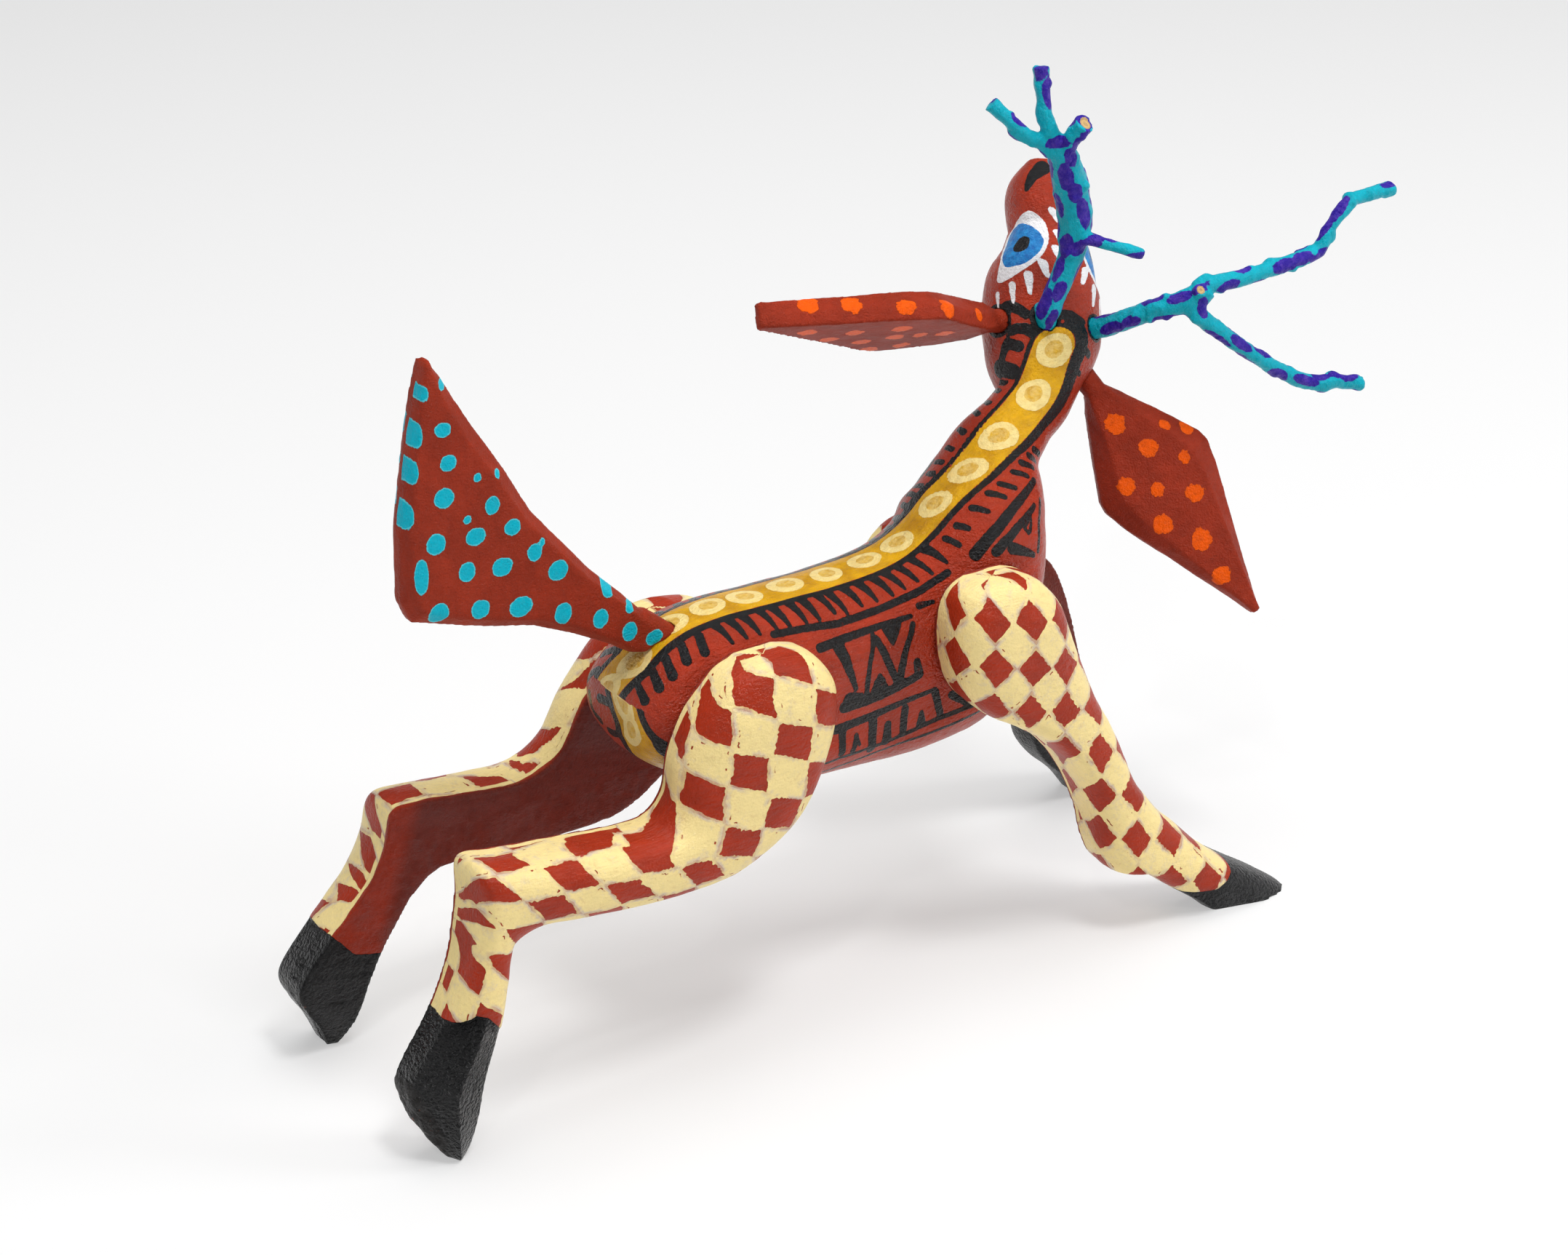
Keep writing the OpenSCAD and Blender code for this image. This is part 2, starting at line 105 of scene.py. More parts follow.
def add_area(name, at, aim, size, power):
    """A square area lamp, with places and size in metres and power in watts."""
    data = bpy.data.lights.new(name, "AREA")
    data.shape = "RECTANGLE"
    data.size = data.size_y = size
    data.energy = power
    ob = bpy.data.objects.new(name, data)
    ob.location = at
    ob.rotation_euler = (Vector(aim) - Vector(at)).to_track_quat("-Z", "Y").to_euler()
    scene.collection.objects.link(ob)


def add_light():
    """A dim even surround and five lamps."""
    world = bpy.data.worlds.new("studio")
    scene.world = world
    world.use_nodes = True
    bg = world.node_tree.nodes["Background"]
    bg.inputs["Color"].default_value = (1.0, 1.0, 1.0, 1)
    bg.inputs["Strength"].default_value = 0.14
    add_area("softbox_top", (0.1, 0.15, 1.5), (0, 0, 0), 1.2, 14.0)
    add_area("key", (0.0, -0.5, 1.4), (0, 0, 0.08), 0.28, 7.5)
    add_area("softbox_right", (1.15, -0.75, 0.8), (0, 0, 0.08), 0.4, 7.5)
    add_area("softbox_left", (-1.2, -0.3, 0.9), (0, 0, 0.08), 0.9, 1.6)
    add_area("sparkle", (-0.75, -0.7, 1.25), (0, 0, 0.1), 0.07, 1.6)


add_light()
scene.view_settings.view_transform = "Standard"


# ------------------------------------------------------------------ numbers over points
def value_noise(p, scale, seed):
    """Smooth random numbers from -1 to 1 at the points p, with features of about scale mm."""
    q = p / scale + 100.0 + seed * 17.3
    i = np.floor(q).astype(np.int64)
    f = q - i
    f = f * f * (3 - 2 * f)
    out = np.zeros(len(p))
    for dx in (0, 1):
        for dy in (0, 1):
            for dz in (0, 1):
                # a number from each corner of the point's cell, the same on every run
                h = (i[:, 0] + dx) * 73856093 ^ (i[:, 1] + dy) * 19349663 ^ (i[:, 2] + dz) * 83492791
                h = h ^ seed * 2654435761
                h = (h ^ (h >> 13)) * 1274126177 & 0xFFFFFFFF
                h = (h ^ (h >> 16)) & 0xFFFF
                w = np.where(dx, f[:, 0], 1 - f[:, 0]) * np.where(dy, f[:, 1], 1 - f[:, 1])
                w = w * np.where(dz, f[:, 2], 1 - f[:, 2])
                out += w * (h / 32767.5 - 1)
    return out


def bumps(p, *layers):
    """Noise heights in mm at the points p, added up from layers of amount, size and seed."""
    return sum(amount * value_noise(p, size, seed) for amount, size, seed in layers)


def spline_point(a, b, c, d, t):
    """The Catmull-Rom point at t, from 0 to 1, between b and c."""
    return 0.5 * (2 * b + (c - a) * t + (2 * a - 5 * b + 4 * c - d) * t**2 + (3 * b - a - 3 * c + d) * t**3)


def fine(stations, n):
    """Catmull-Rom points between stations, as in part.scad."""
    s = np.array(stations, float)
    out = []
    m = len(s) - 1
    for i in range(m):
        a, b, c, d = s[max(i - 1, 0)], s[i], s[i + 1], s[min(i + 2, m)]
        for k in range(n):
            out.append(spline_point(a, b, c, d, k / n))
    out.append(s[m])
    return np.array(out)


def spow(v, p):
    return np.sign(v) * np.abs(v) ** p


def unit(v):
    return v / np.linalg.norm(v, axis=-1, keepdims=True)


def run_length(points):
    """Length along a line of points, at each of them."""
    return np.concatenate([[0], np.cumsum(np.linalg.norm(np.diff(points, axis=0), axis=1))])


def at_ring(values, ring):
    """Values kept for each ring, at ring numbers with fractions."""
    i = np.minimum(ring.astype(int), len(values) - 2)
    f = (ring - i).reshape(-1, *[1] * (values.ndim - 1))
    return values[i] * (1 - f) + values[i + 1] * f


class Loft:
    """A closed loft of rings; at each ring point u runs along it and v round it, in mm."""

    def __init__(self, rings, u, v):
        self.rings, self.u, self.v = rings, u, v
        self.n, self.k = rings.shape[:2]
        points = rings.reshape(-1, 3)
        faces = []
        for i in range(self.n - 1):
            for j in range(self.k - 1):
                a = i * self.k + j
                faces.append((a, a + 1, a + self.k + 1, a + self.k))
        self.tree = BVHTree.FromPolygons([Vector(p) for p in points], faces)

    def find(self, q):
        """For each point: its nearest place on the loft, the distance, u, v and the ring, with fraction."""
        hits = [self.tree.find_nearest(Vector(p)) for p in q]
        loc = np.array([h[0] for h in hits])
        face = np.array([h[2] for h in hits])
        dist = np.array([h[3] for h in hits])
        i, j = face // (self.k - 1), face % (self.k - 1)
        r = self.rings
        d1, d2 = r[i + 1, j] - r[i, j], r[i, j + 1] - r[i, j]
        a = np.clip(((loc - r[i, j]) * d1).sum(1) / np.maximum((d1 * d1).sum(1), 1e-9), 0, 1)
        b = np.clip(((loc - r[i, j]) * d2).sum(1) / np.maximum((d2 * d2).sum(1), 1e-9), 0, 1)

        def mix(f):
            return (f[i, j] * (1 - a) + f[i + 1, j] * a) * (1 - b) + (
                f[i, j + 1] * (1 - a) + f[i + 1, j + 1] * a
            ) * b

        return loc, dist, mix(self.u), mix(self.v), i + a


def arc_from(rings, start):
    """Signed length round each ring from its point number start."""
    step = np.linalg.norm(np.diff(rings, axis=1), axis=2)
    run = np.concatenate([np.zeros((len(rings), 1)), np.cumsum(step, axis=1)], axis=1)
    return run - run[:, start : start + 1]


# ------------------------------------------------------------------ stations, as in part.scad
TRUNK = [
    [-48.8, 0, 86, -48.6, 0, 79.5, 9, 2.3, 2.3],
    [-47.4, 0, 91, -46.2, 0, 74.5, 15, 2.4, 2.4],
    [-42, 0, 97.3, -41, 0, 70, 18.2, 2.4, 2.5],
    [-35, 0, 102, -34.5, 0, 66.5, 19, 2.3, 2.5],
    [-24, 0, 104.5, -24, 0, 61.6, 20, 2.3, 2.6],
    [-8, 0, 104.6, -8, 0, 57.2, 20, 2.3, 2.8],
    [10, 0, 104.6, 12, 0, 55.2, 20, 2.3, 2.8],
    [24, 0, 105.3, 33, 0, 54.6, 20.5, 2.3, 2.8],
    [33, 0.3, 107.5, 52.5, 0, 56.8, 20.5, 2.3, 2.6],
    [40, 0.5, 111.3, 63.4, 0, 66, 20.5, 2.3, 2.5],
    [47, 0.6, 116.5, 67, 2.4, 82, 20.4, 2.4, 2.3],
    [55.4, 0.9, 121.4, 68.8, 8, 98, 17, 2.1, 2.1],
    [65, 2.2, 127, 72.8, 14.6, 112.5, 12, 2, 2],
    [74.4, 4.6, 131.6, 80.8, 18, 119, 9.4, 2, 2],
    [82, 7.4, 135.8, 88.1, 21, 123, 10, 2, 2],
    [88.6, 11, 142.8, 91.8, 28, 129, 13.6, 2.2, 2],
    [92.8, 12.3, 147.7, 94.2, 32.5, 134.5, 15.4, 2.3, 2.2],
    [95, 15.6, 152, 96, 35, 139.5, 15.8, 2.4, 2.2],
    [97.6, 18.9, 157.8, 98, 37.5, 145, 14.9, 2.4, 2.2],
    [100.4, 22.2, 162, 100.8, 39.8, 149.6, 12.9, 2.4, 2.2],
    [102.4, 25, 165.2, 102.7, 41, 154, 11, 2.3, 2.2],
    [104.2, 29.2, 169, 104.8, 43.4, 158.6, 9.2, 2.3, 2.2],
    [104.8, 31.8, 172.9, 105.4, 46, 162.6, 8.6, 2.3, 2.3],
    [106, 35, 176, 106.6, 48.4, 166.6, 8, 2.3, 2.3],
    [108, 38.4, 178.5, 108.4, 49.4, 171, 6.4, 2.2, 2.2],
    [109.6, 41.8, 180.4, 110, 48, 176, 4, 2.1, 2.1],
]
REAR_RIGHT = [
    [-28, 101.6, -17, 102, 0, 0.62],
    [-35, 98.6, -10, 99.8, 0, 0.8],
    [-42.5, 90.5, -4.8, 92.5, 0, 0.96],
    [-47.3, 81, -4.6, 83, 0, 1],
    [-49, 72, -8.6, 70, 0, 1],
    [-54, 67, -16.6, 58.6, 0, 1],
    [-62.5, 66.9, -32.6, 50.4, 0, 1],
    [-73, 68.2, -55, 49.4, 0, 1],
    [-84, 69.4, -73, 51, 0, 0.98],
    [-95, 70.8, -86.4, 52.4, 0, 0.96],
    [-102.6, 71.2, -93.6, 50, 0, 0.94],
    [-103.4, 62, -95.4, 46.6, 0, 0.92],
    [-105.6, 50, -96.2, 41.6, 0.01, 0.92],
    [-110, 38.5, -97.4, 35.2, 0.02, 0.94],
    [-114.2, 31, -99.4, 28.8, 0.02, 0.96],
    [-121.4, 20, -103, 19, 0.02, 0.98],
    [-120, 11.5, -105.6, 9, 0.06, 0.95],
    [-117, 5.5, -107.8, 3, 0.14, 0.88],
    [-113.2, -0.5, -109.6, -0.8, 0.3, 0.74],
]
REAR_LEFT = [
    [-29, 95, -17, 96, 0, 0.62],
    [-36.5, 90.5, -9, 94, 0, 0.8],
    [-42.5, 82.5, -4, 87.5, 0, 0.96],
    [-48, 75.2, -3.5, 77, 0, 1],
    [-52.6, 67.6, -8, 64.5, 0, 1],
    [-58, 63.2, -18, 55, 0, 1],
    [-64.5, 61.8, -33.5, 45, 0, 1],
    [-72, 62.4, -52, 43.4, 0, 1],
    [-80.5, 63.4, -68, 44, 0, 0.98],
    [-90.5, 64.6, -79.5, 45, 0, 0.97],
    [-98.2, 63.8, -87, 44, 0, 0.97],
    [-100.6, 54, -92, 40.5, 0, 0.97],
    [-104.6, 45.5, -96, 35, 0, 0.98],
    [-111, 38, -98.4, 30.6, 0, 0.98],
    [-115.2, 33, -100.4, 26.6, 0.02, 0.98],
    [-123.6, 21.5, -103.4, 19, 0.02, 0.98],
    [-121, 13.6, -106.2, 10, 0.06, 0.95],
    [-117, 7.4, -108.6, 4.4, 0.14, 0.88],
    [-113.4, -0.5, -110.6, -0.8, 0.3, 0.74],
]
FRONT_RIGHT = [
    [38.5, 105, 50, 105, 0, 0.62],
    [33.5, 102.4, 56, 102.4, 0, 0.8],
    [30.6, 95, 61.5, 96, 0, 0.96],
    [31, 85, 65, 87.5, 0, 1],
    [34.5, 76.6, 68.6, 78.5, 0, 1],
    [41, 70, 73, 68.5, 0, 1],
    [50, 64.4, 78, 59, 0, 1],
    [58, 58.6, 82, 49.6, 0, 0.98],
    [64.6, 51, 85, 41.6, 0, 0.95],
    [69, 43, 88.5, 36.4, 0, 0.93],
    [72, 34.5, 92.8, 31, 0, 0.92],
    [73.6, 25.5, 98, 26, 0, 0.92],
    [77.2, 18.8, 104, 19.8, 0, 0.92],
    [85, 17, 111.5, 13.6, 0.02, 0.92],
    [94, 10, 119.5, 8.4, 0.04, 0.9],
    [102.5, 3.8, 127.5, 3.4, 0.06, 0.88],
    [107.5, -0.6, 133, -0.8, 0.1, 0.84],
]
FRONT_LEFT = [
    [44, 94, 50, 99, 0, 0.62],
    [43, 87.5, 57, 100.4, 0, 0.84],
    [45.4, 80.5, 65.2, 98.8, 0, 0.98],
    [52, 74, 73, 95.2, 0, 1],
    [61, 69.4, 81, 90.8, 0, 1],
    [70, 65.5, 89, 86.2, 0, 1],
    [78, 61, 96.4, 80.6, 0, 1],
    [84.4, 54.5, 101, 72.4, 0, 0.98],
    [88.8, 46.5, 104.8, 62.6, 0, 0.95],
    [91.8, 39, 108.4, 52.4, 0, 0.93],
    [93.8, 33.4, 112.4, 42, 0, 0.92],
    [95.4, 28, 117, 32, 0, 0.92],
    [98, 22, 121.4, 23.6, 0, 0.92],
    [103, 15.8, 125.4, 16, 0.02, 0.92],
    [108, 11.4, 128.4, 10, 0.04, 0.9],
    [113, 6.4, 131, 4.6, 0.06, 0.88],
    [118.6, -0.6, 132.6, -0.8, 0.1, 0.84],
]


def trunk_loft():
    """The trunk's skin, with the middle and the sideways direction at each ring."""
    s = fine(TRUNK, 8)
    top, low = s[:, 0:3], s[:, 3:6]
    mid, up = (top + low) / 2, (top - low) / 2
    along = np.gradient(top + low, axis=0)
    side = unit(np.cross(up, along))
    k = 120
    # from the belly line, over the left side, the back line and the right side
    t = np.radians(90 + 180 - 360 * np.arange(k + 1) / k)
    rings = np.zeros((len(s), k + 1, 3))
    for j, a in enumerate(t):
        e = np.where(math.sin(a) >= 0, s[:, 7], s[:, 8])[:, None]
        across = spow(round(math.cos(a), 9), 2 / e)
        rings[:, j] = mid - side * s[:, 6:7] * across + up * spow(round(math.sin(a), 9), 2 / e)
    u = np.repeat(run_length(top)[:, None], k + 1, axis=1)
    return Loft(rings, u, arc_from(rings, k // 2)), mid, side


def leg_loft(stations, splay, sign):
    """A leg's skin, with the depth of its inner and its outer face at each ring."""
    s = fine(stations, 8)
    back, front = s[:, [0, 1]], s[:, [2, 3]]
    mid, half = (back + front) / 2, (front - back) / 2
    out = splay * (np.maximum(SPLAY_FROM - mid[:, 1], 0) / SPLAY_FROM) ** 1.3
    y0, y1 = out + s[:, 4] * LEG_T, out + s[:, 5] * LEG_T
    dome = (y1 - y0) * LEG_DOME
    k = 60
    rings = np.zeros((len(s), k + 5, 3))

    def put(j, f, y):
        rings[:, j, 0] = mid[:, 0] + half[:, 0] * f
        rings[:, j, 2] = mid[:, 1] + half[:, 1] * f
        rings[:, j, 1] = sign * (FLAT_Y + y)

    put(0, 0.0, y0)
    put(1, -0.94, y0)
    for j in range(k + 1):
        t = math.radians(180 - 180 * j / k)
        f = float(spow(round(math.cos(t), 9), LEG_EDGE))
        put(j + 2, f, y1 - dome + dome * max(round(math.sin(t), 9), 0) ** LEG_EDGE)
    put(k + 3, 0.94, y0)
    put(k + 4, 0.0, y0)
    u = np.repeat(run_length(mid)[:, None], k + 5, axis=1)
    return Loft(rings, u, arc_from(rings, 2 + k // 2)), y0, y1


# ------------------------------------------------------------------ carving a CAD node into a fine mesh
def detail_mesh(node, voxel):
    """The CAD node's mesh, welded and remeshed evenly, as points in the drawing frame and quads."""
    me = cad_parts[node].data.copy()
    bm = bmesh.new()
    bm.from_mesh(me)
    bmesh.ops.remove_doubles(bm, verts=bm.verts, dist=2e-6)
    bm.to_mesh(me)
    bm.free()
    ob = bpy.data.objects.new(node + "_work", me)
    scene.collection.objects.link(ob)
    mod = ob.modifiers.new("even", "REMESH")
    mod.mode = "VOXEL"
    mod.voxel_size = voxel / 1000
    mod.adaptivity = 0
    bpy.context.view_layer.update()
    dg = bpy.context.evaluated_depsgraph_get()
    out = bpy.data.meshes.new_from_object(ob.evaluated_get(dg))
    bpy.data.objects.remove(ob)
    p = np.empty(len(out.vertices) * 3)
    out.vertices.foreach_get("co", p)
    p = p.reshape(-1, 3) * 1000 - ORIGIN
    e = np.empty(len(out.edges) * 2, dtype=np.int64)
    out.edges.foreach_get("vertices", e)
    return out, p, e.reshape(-1, 2)


def relax(p, edges, rounds, pull=0.5, push=-0.53):
    """Taubin smoothing, which rounds small steps and keeps the volume."""
    count = np.bincount(edges.ravel(), minlength=len(p)).astype(float)[:, None]
    for _ in range(rounds):
        for f in (pull, push):
            total = np.zeros_like(p)
            for axis in range(3):
                for a, b in ((0, 1), (1, 0)):
                    total[:, axis] += np.bincount(edges[:, a], p[edges[:, b], axis], len(p))
            p = p + f * (total / count - p)
    return p


def normals_of(mesh, p):
    """The normals of the mesh with its points at p."""
    mesh.vertices.foreach_set("co", ((p + ORIGIN) / 1000).ravel())
    mesh.update()
    n = np.empty(len(p) * 3)
    mesh.vertices.foreach_get("normal", n)
    return n.reshape(-1, 3)


def finish_mesh(node, mesh, p, material, fields):
    """Writes the points and fields and stands the piece for its CAD node, on the node's body."""
    mesh.vertices.foreach_set("co", ((p + ORIGIN) / 1000).ravel())
    for name, values in fields.items():
        at = mesh.attributes.new(name, "FLOAT", "POINT")
        at.data.foreach_set("value", values.astype(np.float32))
    mesh.update()
    mesh.polygons.foreach_set("use_smooth", np.ones(len(mesh.polygons), dtype=bool))
    mesh.materials.clear()
    mesh.materials.append(material)
    mesh.name = node + "_painted"
    ob = bpy.data.objects.new(node + "_painted", mesh)
    scene.collection.objects.link(ob)
    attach(ob, BODY[node])
    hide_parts(node)


# ------------------------------------------------------------------ painted shapes, as distances in mm
# A distance is negative inside its shape.
FAR = 3.0


def stroke_field(p, strokes):
    """Distance to brush strokes: each is a list of points with half widths at its start and end."""
    out = np.full(len(p), FAR)
    for points, w0, w1 in strokes:
        pts = np.array(points, float)
        run = run_length(pts)
        run = run / max(run[-1], 1e-6)
        reach = FAR + max(w0, w1)
        near = np.nonzero(((p > pts.min(0) - reach) & (p < pts.max(0) + reach)).all(1))[0]
        if not len(near):
            continue
        q = p[near]
        best = np.full(len(q), FAR)
        for a, b, ra, rb in zip(pts[:-1], pts[1:], run[:-1], run[1:]):
            d = b - a
            t = np.clip(((q - a) @ d) / max(d @ d, 1e-9), 0, 1)
            w = w0 + (w1 - w0) * (ra + (rb - ra) * t)
            best = np.minimum(best, np.linalg.norm(q - a - t[:, None] * d, axis=1) - w)
        out[near] = np.minimum(out[near], best)
    return out


def polygon_field(a, b, points):
    """Distance in a plane to a closed polygon."""
    pts = np.array(points, float)
    d = np.full(len(a), 1e9)
    inside = np.zeros(len(a), bool)
    for (x0, y0), (x1, y1) in zip(pts, np.roll(pts, -1, axis=0)):
        ex, ey = x1 - x0, y1 - y0
        t = np.clip(((a - x0) * ex + (b - y0) * ey) / max(ex * ex + ey * ey, 1e-9), 0, 1)
        d = np.minimum(d, np.hypot(a - x0 - t * ex, b - y0 - t * ey))
        cross = ((y0 > b) != (y1 > b)) & (a < ex * (b - y0) / (ey if abs(ey) > 1e-9 else 1e-9) + x0)
        inside ^= cross
    return np.where(inside, -d, d)


def smooth_loop(points, n=6):
    """A rounded closed curve through the points."""
    s = np.array(points, float)
    m = len(s)
    out = []
    for i in range(m):
        a, b, c, d = s[i - 1], s[i], s[(i + 1) % m], s[(i + 2) % m]
        for k in range(n):
            out.append(spline_point(a, b, c, d, k / n))
    return out


def dot_field(p, dots):
    """Distance to round dots: each is x, y, z and a radius."""
    out = np.full(len(p), FAR)
    for x, y, z, r in dots:
        out = np.minimum(out, np.linalg.norm(p - (x, y, z), axis=1) - r)
    return out


# ------------------------------------------------------------------ material writing
class Nodes:
    """Short names for shader nodes in one material."""

    def __init__(self, name):
        self.mat = bpy.data.materials.new(name)
        self.mat.use_nodes = True
        self.nt = self.mat.node_tree
        self.nt.nodes.clear()

    def node(self, kind, inputs=(), **settings):
        """A new node with its settings, and its inputs given as pairs of socket and value."""
        n = self.nt.nodes.new("ShaderNode" + kind)
        for key, value in settings.items():
            setattr(n, key, value)
        for socket, value in inputs:
            self.put(n.inputs[socket], value)
        return n

    def put(self, socket, value):
        if isinstance(value, bpy.types.NodeSocket):
            self.nt.links.new(value, socket)
        elif socket.type == "VECTOR":
            socket.default_value = tuple(value)[:3]
        else:
            socket.default_value = value

    def field(self, name):
        return self.node("Attribute", attribute_name=name).outputs["Fac"]

    def math(self, op, a, b=0.0, c=0.0, clamp=False):
        return self.node("Math", enumerate((a, b, c)), operation=op, use_clamp=clamp).outputs[0]

    def add(self, a, *more):
        for b in more:
            a = self.math("ADD", a, b)
        return a

    def sub(self, a, b):
        return self.math("SUBTRACT", a, b)

    def mul(self, a, b):
        return self.math("MULTIPLY", a, b)

    def inside(self, distance, edge=0.06):
        """1 where distance is below 0, with a thin soft edge."""
        inputs = (("Value", distance), ("From Min", edge), ("From Max", -edge))
        return self.node("MapRange", inputs, interpolation_type="SMOOTHSTEP").outputs[0]

    def ramp(self, value, low, high, out_low=0.0, out_high=1.0):
        inputs = (
            ("Value", value), ("From Min", low), ("From Max", high), ("To Min", out_low),
            ("To Max", out_high)
        )
        return self.node("MapRange", inputs).outputs[0]

    def where(self):
        """Object coordinates in mm, which ride with the piece."""
        if not hasattr(self, "_where"):
            here = self.node("TexCoord").outputs["Object"]
            self._where = self.node("Mapping", (("Vector", here), ("Scale", (1000, 1000, 1000)))).outputs[0]
        return self._where

    def stretched(self, x, y, z):
        return self.node("Mapping", (("Vector", self.where()), ("Scale", (x, y, z)))).outputs[0]

    def noise(self, size, detail=2.0, rough=0.5, vector=None, w=0.0):
        """Noise of features about size mm; about 0.5 on average."""
        inputs = [
            ("Vector", vector or self.where()), ("Scale", 1 / size), ("Detail", detail),
            ("Roughness", rough)
        ]
        if w:
            inputs.append(("W", w))
        return self.node("TexNoise", inputs, noise_dimensions="4D" if w else "3D").outputs["Fac"]

    def signed(self, size, amount, detail=2.0, w=0.0, rough=0.5):
        """Noise from about -amount to amount mm."""
        return self.mul(self.sub(self.noise(size, detail, rough, w=w), 0.5), 2.4 * amount)

    def over(self, below, colour, mask):
        """colour laid over below where mask is 1."""
        return self.node("Mix", data_type="RGBA", inputs=((0, mask), (6, below), (7, colour))).outputs[2]

    def over_value(self, below, value, mask):
        return self.node("Mix", data_type="FLOAT", inputs=((0, mask), (2, below), (3, value))).outputs[0]

    def shade(self, colour, low, high, factor):
        """colour made darker or lighter by factor from 0 to 1."""
        k = self.ramp(factor, 0.25, 0.75, low, high)
        return self.node("VectorMath", ((0, colour), ("Scale", k)), operation="SCALE").outputs[0]

    def finish(self, colour, roughness, height, coat=0.1, coat_rough=0.15, specular=0.28, distance=0.0026):
        """The shader; distance is the metres for each unit of height, drawn stronger than the true 0.001."""
        bump = self.node("Bump", (("Distance", distance), ("Height", height)))
        # the varnish lies rougher than the paint, so that it glints in points
        varnish = self.node("Bump", (("Distance", 2.6 * distance), ("Height", height)))
        shader = self.node("BsdfPrincipled", (
            ("Base Color", colour), ("Roughness", roughness), ("Normal", bump.outputs[0]),
            ("Coat Normal", varnish.outputs[0]),
        ))
        shader.inputs["Coat Weight"].default_value = coat
        shader.inputs["Coat Roughness"].default_value = coat_rough
        shader.inputs["Specular IOR Level"].default_value = specular
        self.node("OutputMaterial", ((0, shader.outputs[0]),))
        return self.mat


def srgb(r, g, b):
    """A colour given as 0 to 255 screen values, made linear."""
    def lin(c):
        c /= 255
        return c / 12.92 if c <= 0.04045 else ((c + 0.055) / 1.055) ** 2.4
    return (lin(r), lin(g), lin(b), 1.0)


RED = srgb(164, 46, 18)
# the unpainted red of a leg's flat inner face, made darker as painted shade
RED_UNPAINTED_AND_SHADE = srgb(118, 38, 24)
CREAM = srgb(250, 226, 156)
LILAC_GREY = srgb(204, 186, 176)
OCHRE = srgb(220, 164, 4)
OCHRE_DARK = srgb(184, 128, 4)
EGG = srgb(246, 222, 148)
BLACK = srgb(11, 11, 13)
WHITE = srgb(240, 238, 240)
AQUA = srgb(0, 184, 208)
TWIG_AQUA = srgb(0, 170, 190)
PURPLE = srgb(44, 22, 150)
ORANGE = srgb(244, 92, 0)
WOOD = srgb(214, 178, 122)


def brush_red(m, tint=RED, grain=(0.12, 1.0, 1.0)):
    """The red ground: thin paint over wood, blotchy and a little streaked along the grain."""
    blotch = m.noise(9.0, 3.0, 0.6)
    streak = m.noise(1.1, 3.0, 0.65, vector=m.stretched(*grain))
    c = m.shade(tint, 0.82, 1.16, blotch)
    return m.shade(c, 0.9, 1.1, streak)


def wood_height(m, grain=(0.12, 1.0, 1.0), coarse=0.5, fine_size=0.5, fine_amount=0.35):
    """Height of the painted wood grain in mm: long ridges and fine pimples."""
    ridge = m.noise(coarse, 2.0, 0.6, vector=m.stretched(*grain))
    pimple = m.noise(fine_size, 2.0, 0.6)
    return m.add(m.mul(ridge, 0.10), m.mul(pimple, fine_amount * 0.2))


# ------------------------------------------------------------------ who rides on what
BODY = {n: n + "_body" for n in ("ear_left", "ear_right", "antler_left", "antler_right", "tail")}
LEGS = {
    "leg_rear_right": (REAR_RIGHT, 1.5, -1),
    "leg_rear_left": (REAR_LEFT, 6.0, 1),
    "leg_front_right": (FRONT_RIGHT, 10.0, -1),
    "leg_front_left": (FRONT_LEFT, 10.0, 1),
}
for node in ("trunk", *LEGS):
    BODY[node] = "carving"

# ------------------------------------------------------------------ trunk
loft, trunk_mid, trunk_side = trunk_loft()
TOP_RUN = loft.u[:, 0]
RUMP_X, RUMP_Z = -48.8, 86.0
# the ochre band along u: its lowest end, where its rounded end on the crown begins, and its tip
BAND_FROM, BAND_ROUND, BAND_TO = -15.5, 160, 163


def band_chart(p, u, v):
    """u along the back line and v off it, carried on over and under the rump, where the loft's end cap is."""
    rear = (p[:, 0] < -44) & (p[:, 2] < RUMP_Z + 3)
    u = np.where(rear, np.minimum(u, p[:, 2] - RUMP_Z), u)
    under = (p[:, 0] < -30) & (p[:, 2] < 78) & (np.abs(v) > 30)
    u = np.where(under, -10.0 - (p[:, 0] + 46.5), u)
    v = np.where(rear | under, p[:, 1], v)
    return u, v


def rump_lean(u):
    """How far the band has swung to the right of the middle, over the rump."""
    return np.interp(u, [-16, -4, 3, 12], [-12, -9, -3.6, 0])


def on_trunk(u, v):
    """The point of the trunk's skin at u along the back line and v round it (right is negative)."""
    if u < 0:
        bend = max(abs(v) - 7.5, 0)
        return (RUMP_X + 0.3 + 0.75 * bend - 0.02 * u, v, RUMP_Z + u)
    i = int(np.clip(np.searchsorted(TOP_RUN, u) - 1, 0, loft.n - 2))
    f = (u - TOP_RUN[i]) / (TOP_RUN[i + 1] - TOP_RUN[i])
    a = [np.interp(v, loft.v[i], loft.rings[i, :, c]) for c in range(3)]
    b = [np.interp(v, loft.v[i + 1], loft.rings[i + 1, :, c]) for c in range(3)]
    return tuple((1 - f) * x + f * y for x, y in zip(a, b))


def other_side(points):
    """The same points on the other side of the trunk."""
    ring = loft.find(points)[-1]
    mid, side = at_ring(trunk_mid, ring), unit(at_ring(trunk_side, ring))
    p = np.array(points, float)
    return p - 2 * ((p - mid) * side).sum(1)[:, None] * side


def band_half(u):
    """Half the width of the ochre band."""
    return np.interp(u, [-16, -4, 20, 60, 100, 130, 150, 163], [5.0, 5.5, 5.3, 5.9, 5.6, 5.2, 5.4, 5.2])


